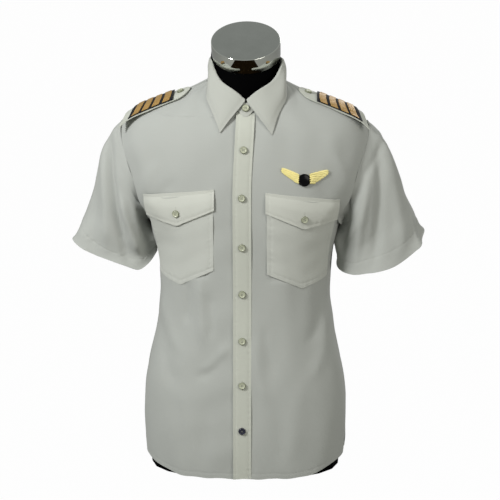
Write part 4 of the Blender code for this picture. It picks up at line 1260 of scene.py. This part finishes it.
def sew_button(node, foot, turn, look=pearl, rim=pearl_rim_shaded, slot="shirt_button"):
    """A copy of the button at a foot and turn, with its crossed thread."""
    mesh = button_shape.copy()
    mesh.transform(Matrix.Translation(foot) @ turn)
    mesh.materials.append(look)
    mesh.materials.append(rim)
    button = in_scene(node + "_resin", mesh)
    bpy.ops.object.shade_smooth_by_angle(angle=math.radians(38))
    fixed(button, slot, node)
    right, high, out = (np.array(turn.col[k][:3]) for k in range(3))
    strands = []
    for tilt in (1, -1):
        ends = np.array([(-1, -tilt), (-0.33, -0.33 * tilt), (0.33, 0.33 * tilt), (1, tilt)]) * THREAD_OFF
        line = foot + ends[:, :1] * right + ends[:, 1:] * high + out * BUTTON_HEIGHT * 0.92
        strands.append((line, np.repeat(out[None], 4, axis=0)))
    stitches(node + "_thread", strands)


for number in range(1, 9):
    node = f"button_{number}"
    foot, turn = stand_at(node, (0.0, -1.0, 0.2))
    looks = (dark_resin, dark_resin, "dark_button") if number == 8 else ()
    sew_button(node, button_raised(settled(foot), node), turn, *looks)
for side in ("right", "left"):
    foot, out = flap_places[side]
    sew_button("pocket_button_" + side, foot, turn_to(out))
    foot, turn = stand_at("epaulette_button_" + side, (0.0, -0.3, 1.0))
    sew_button("epaulette_button_" + side, foot + np.array(turn.col[2][:3]) * STRAP_RAISE, turn)


# Pilot badge
# A pin of two cast and gilt wings with a black enamel disc between them, held by clutches behind the cloth.
# The wings are plain feathers in three overlapping rows, and the disc is bare.

GOLD = (1.00, 0.88, 0.36)
WING_TIPS = np.array((
    (0.0405, 0.0215), (0.0415, 0.0180), (0.0400, 0.0145), (0.0350, 0.0110),
    (0.0300, 0.0075), (0.0245, 0.0045), (0.0190, 0.0005),
))
WING_ROWS = ((1.0, 0.0002, 8, 0.0023), (0.66, 0.0009, 7, 0.0021), (0.36, 0.0016, 5, 0.0020))
FEATHER_SHARES = ((0.0, 0.55), (0.25, 0.90), (0.5, 1.0), (0.80, 1.0), (0.94, 0.72), (1.0, 0.25))
FEATHER_RIDGE = 0.0009
FEATHER_WALL = 0.0011
DISC_HALF = 0.0112
DISC_STEPS = ((1.0, 0.0031), (0.94, 0.0004), (0.90, -0.0004), (0.80, 0.0005), (0.70, 0.0003), (0.45, 0.0002))

gold_shade = [c * 0.88 for c in GOLD]
gilt = grained("badge_gilt", {"Metallic": 0.05}, gold_shade, GOLD, {"Scale": 420.0}, rough=(0.22, 0.42))
badge_middle = node_middle("badge_disc")


def feather(root, tip, half, lift, plane):
    """Points and faces of one feather: a leaf with a raised middle, laid on a plane y = a + b x + c z."""
    way = tip - root
    side = np.array((-way[1], way[0])) / np.linalg.norm(way)
    points, faces = [], []
    for t, wide in FEATHER_SHARES:
        for k, out in ((-1, 0.0), (0, FEATHER_RIDGE), (1, 0.0)):
            x, z = root + way * t + side * half * wide * k
            y = plane[0] + plane[1] * x + plane[2] * z - lift - out * (0.4 + 0.6 * wide)
            points.append((float(x), float(y), float(z)))
    points += [(x, y + FEATHER_WALL, z) for x, y, z in points]
    count = len(FEATHER_SHARES) * 3
    for r in range(len(FEATHER_SHARES) - 1):
        for a in (r * 3, r * 3 + 1):
            faces.append((a, a + 1, a + 4, a + 3))
            faces.append((a + count, a + 3 + count, a + 4 + count, a + 1 + count))
        for a in (r * 3, r * 3 + 2):
            faces.append((a, a + 3, a + 3 + count, a + count))
    for a in (0, 1, count - 3, count - 2):
        faces.append((a, a + count, a + 1 + count, a + 1))
    return points, faces


def wing(node, way, drop, longer):
    """A wing of feathers in three rows on the place of a CAD wing."""
    solid = solid_points(node)
    fit = np.stack((np.ones(len(solid)), solid[:, 0], solid[:, 2]), axis=1)
    plane = np.linalg.lstsq(fit, solid[:, 1], rcond=None)[0]
    all_points, all_faces = [], []
    for length, lift, count, half in WING_ROWS:
        for t in [k / (count - 1) for k in range(count)]:
            root = np.array((0.0095, 0.0095 - 0.0140 * t))
            tip = [np.interp(t, np.linspace(0.0, 1.0, len(WING_TIPS)), WING_TIPS[:, k]) for k in (0, 1)]
            tip = root + (np.array((tip[0] * longer, tip[1] - drop)) - root) * length
            ends = [badge_middle[[0, 2]] + end * (way, 1.0) for end in (root, tip)]
            points, faces = feather(*ends, half, lift, plane)
            all_faces += [tuple(len(all_points) + i for i in face) for face in faces]
            all_points += points
    mesh = bpy.data.meshes.new(node + "_gilt")
    mesh.from_pydata(all_points, [], all_faces)
    mesh.materials.append(gilt)
    piece = in_scene(node + "_gilt", mesh)
    bpy.ops.object.mode_set(mode="EDIT")
    bpy.ops.mesh.select_all(action="SELECT")
    bpy.ops.mesh.normals_make_consistent(inside=False)
    bpy.ops.object.mode_set(mode="OBJECT")
    bpy.ops.object.shade_smooth_by_angle(angle=math.radians(35))
    fixed(piece, "gold_metal", node)


wing("badge_wing_right", -1.0, 0.0, 1.0)
wing("badge_wing_left", 1.0, 0.0060, 1.05)

enamel = resin("badge_enamel", (0.001, 0.001, 0.001), (0.004, 0.004, 0.005), 0.18,
               **{"Coat Weight": 0.0, "Specular IOR Level": 0.12})
disc_foot, disc_turn = stand_at("badge_disc", (0.2, -1.0, 0.1))
disc = turned_disc(40, DISC_HALF, DISC_STEPS)
disc.name = "badge_disc_enamel"
disc.data.transform(Matrix.Translation(disc_foot) @ disc_turn)
disc.data.materials.append(enamel)
bpy.ops.object.shade_smooth_by_angle(angle=math.radians(35))
fixed(disc, "dark_enamel", "badge_disc")


# Dress form
# A hard black shell with a satin coat, and a plated metal cap that sits on the slanting neck.

CAP_HALF_WIDTH = 0.0628
CAP_HALF_DEPTH = 0.0670
CAP_HEIGHT = 0.0300
CAP_EDGE = 0.0012
CAP_TILT = math.radians(28.0)
CAP_CENTRE = (0.0022, -0.0142, 0.7864)
CAP_AXIS = Vector((0.0, -math.sin(CAP_TILT), math.cos(CAP_TILT)))
CAP_HAZE = {"Scale": 45.0, "Detail": 4.0}

form = in_scene("form_torso_shell", frame["nodes"]["form_torso"].data.copy())
bpy.ops.object.mode_set(mode="EDIT")
bpy.ops.mesh.select_all(action="SELECT")
bpy.ops.mesh.remove_doubles(threshold=WELD)
bpy.ops.mesh.normals_make_consistent(inside=False)
bpy.ops.object.mode_set(mode="OBJECT")
bpy.ops.object.shade_smooth_by_angle(angle=math.radians(40))
form.data.materials.clear()
form.data.materials.append(grained(
    "form_satin_black",
    {"Specular IOR Level": 0.01},
    (0.0004, 0.0004, 0.0005),
    (0.0012, 0.0012, 0.0014),
    {"Scale": 260.0},
    rough=(0.60, 0.75),
))
fixed(form, "form_black", "form_torso")

bpy.ops.object.select_all(action="DESELECT")
bpy.ops.mesh.primitive_cylinder_add(vertices=96, radius=1.0, depth=1.0, end_fill_type="NGON")
cap = bpy.context.object
cap.name = "form_neck_cap_plated"
bpy.ops.object.mode_set(mode="EDIT")
bpy.ops.mesh.select_all(action="SELECT")
bpy.ops.transform.resize(value=(CAP_HALF_WIDTH, CAP_HALF_DEPTH, CAP_HEIGHT))
bpy.ops.mesh.select_all(action="DESELECT")
bpy.ops.mesh.select_mode(type="EDGE")
bpy.ops.mesh.edges_select_sharp(sharpness=math.radians(60))
bpy.ops.mesh.bevel(offset=CAP_EDGE, segments=3, profile=0.5)
bpy.ops.object.mode_set(mode="OBJECT")
cap.data.transform(Matrix.Translation(CAP_CENTRE) @ Matrix.Rotation(CAP_TILT, 4, "X"))
bpy.ops.object.shade_smooth_by_angle(angle=math.radians(35))
fixed(cap, "cap_chrome", "form_neck_cap")
# The band's plate is polished; the top's plate is less polished and coloured darker as painted shade, for the dim
# ceiling that it mirrors.
for name, dark, light, rough in (
    ("cap_plate", (0.66, 0.68, 0.63), (0.72, 0.74, 0.69), (0.03, 0.07)),
    ("cap_plate_top", (0.46, 0.48, 0.45), (0.54, 0.56, 0.53), (0.16, 0.26)),
):
    cap.data.materials.append(grained(name, {"Metallic": 1.0}, dark, light, CAP_HAZE, rough=rough))
for face in cap.data.polygons:
    if face.normal @ CAP_AXIS > 0.95 and face.area > 0.001:
        face.material_index = 1


# Floor, light and camera
# A white floor and soft studio light, the key high on the viewer's left, and the camera a little above the
# collar, looking slightly down. The neck cap alone mirrors a dark card.

CAMERA_PLACE = (0.1287, -2.7412, 0.9675)
CAMERA_TARGET = (0.0090, 0.0, 0.4092)
CAMERA_LENS = 107.8
FLOOR_SHADE = (0.17, 0.172, 0.155, 1.0)
CARD_PLACE = (0.0, -0.155, 0.716)
CARD_SIZE = (0.116, 0.210, 1.0, 1.0)


def shown_white(tree, output, dim, seen=1.0, mirrored=0.0):
    """White to the camera, a shaded grey to the cloth, and a paler grey in the plated metal."""
    path = tree.nodes.new("ShaderNodeLightPath")
    glow = tree.nodes.new("ShaderNodeEmission")
    glow.inputs["Strength"].default_value = 1.0
    shine = tree.nodes.new("ShaderNodeMath")
    shine.operation = "MULTIPLY"
    shine.inputs[1].default_value = mirrored
    share = tree.nodes.new("ShaderNodeMath")
    share.operation = "MULTIPLY_ADD"
    share.inputs[1].default_value = seen
    mix = tree.nodes.new("ShaderNodeMixShader")
    tree.links.new(path.outputs["Is Glossy Ray"], shine.inputs[0])
    tree.links.new(path.outputs["Is Camera Ray"], share.inputs[0])
    tree.links.new(shine.outputs[0], share.inputs[2])
    tree.links.new(share.outputs[0], mix.inputs[0])
    tree.links.new(dim, mix.inputs[1])
    tree.links.new(glow.outputs[0], mix.inputs[2])
    tree.links.new(mix.outputs[0], output)


def aimed(holder, place, target):
    bpy.context.scene.collection.objects.link(holder)
    holder.location = place
    holder.rotation_euler = (Vector(target) - Vector(place)).to_track_quat("-Z", "Y").to_euler()


def soft_light(name, place, target, size, power, colour=(1.0, 1.0, 1.0)):
    lamp = bpy.data.lights.new(name, "AREA")
    lamp.shape = "DISK"
    lamp.size = size
    lamp.energy = power
    lamp.color = colour
    aimed(bpy.data.objects.new(name, lamp), place, target)


bpy.ops.mesh.primitive_plane_add(size=60.0, location=(0.0, 0.0, -0.0005))
floor = bpy.context.object
floor.name = "studio_floor"
white, white_shader = new_material("studio_white", {"Base Color": FLOOR_SHADE, "Roughness": 0.9})
white_output = white.node_tree.nodes["Material Output"]
shown_white(white.node_tree, white_output.inputs["Surface"], white_shader.outputs[0], 0.985, 0.19)
floor.data.materials.append(white)
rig.stage(floor)

bpy.ops.mesh.primitive_plane_add(size=1.0, location=CARD_PLACE)
card = bpy.context.object
card.name = "studio_dark_card"
card.data.transform(Matrix.Diagonal(CARD_SIZE))
card.visible_camera = False
card.visible_diffuse = False
card.visible_shadow = False
card.visible_transmission = False
dark_values = {"Base Color": (0.012, 0.007, 0.003, 1.0), "Roughness": 0.9, "Specular IOR Level": 0.0}
card.data.materials.append(new_material("studio_dark", dark_values)[0])
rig.stage(card)

world = bpy.data.worlds.new("studio")
bpy.context.scene.world = world
world.use_nodes = True
sky = world.node_tree.nodes["Background"]
sky.inputs["Color"].default_value = (0.97, 1.0, 0.97, 1.0)
sky.inputs["Strength"].default_value = 0.36
shown_white(world.node_tree, world.node_tree.nodes["World Output"].inputs["Surface"], sky.outputs[0])

soft_light("key_light", (-1.45, -1.6, 1.75), (0.0, 0.0, 0.52), 0.6, 48.0)
soft_light("fill_light", (1.7, -1.8, 1.1), (0.0, 0.0, 0.45), 1.4, 18.0, (1.0, 0.965, 0.91))
soft_light("back_light", (1.1, 2.3, 1.5), (0.0, 0.0, 0.45), 1.4, 16.0)

camera_data = bpy.data.cameras.new("camera")
camera_data.lens = CAMERA_LENS
camera_data.sensor_width = 36.0
camera = bpy.data.objects.new("camera", camera_data)
aimed(camera, CAMERA_PLACE, CAMERA_TARGET)
bpy.context.scene.camera = camera
bpy.context.scene.view_settings.view_transform = "Standard"

visual_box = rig.bounds()
with open("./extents.json", "w") as size_file:
    boxes = {"cad": cad_box, "visual": visual_box}
    json.dump({name: [[float(x) for x in corner] for corner in box] for name, box in boxes.items()}, size_file)
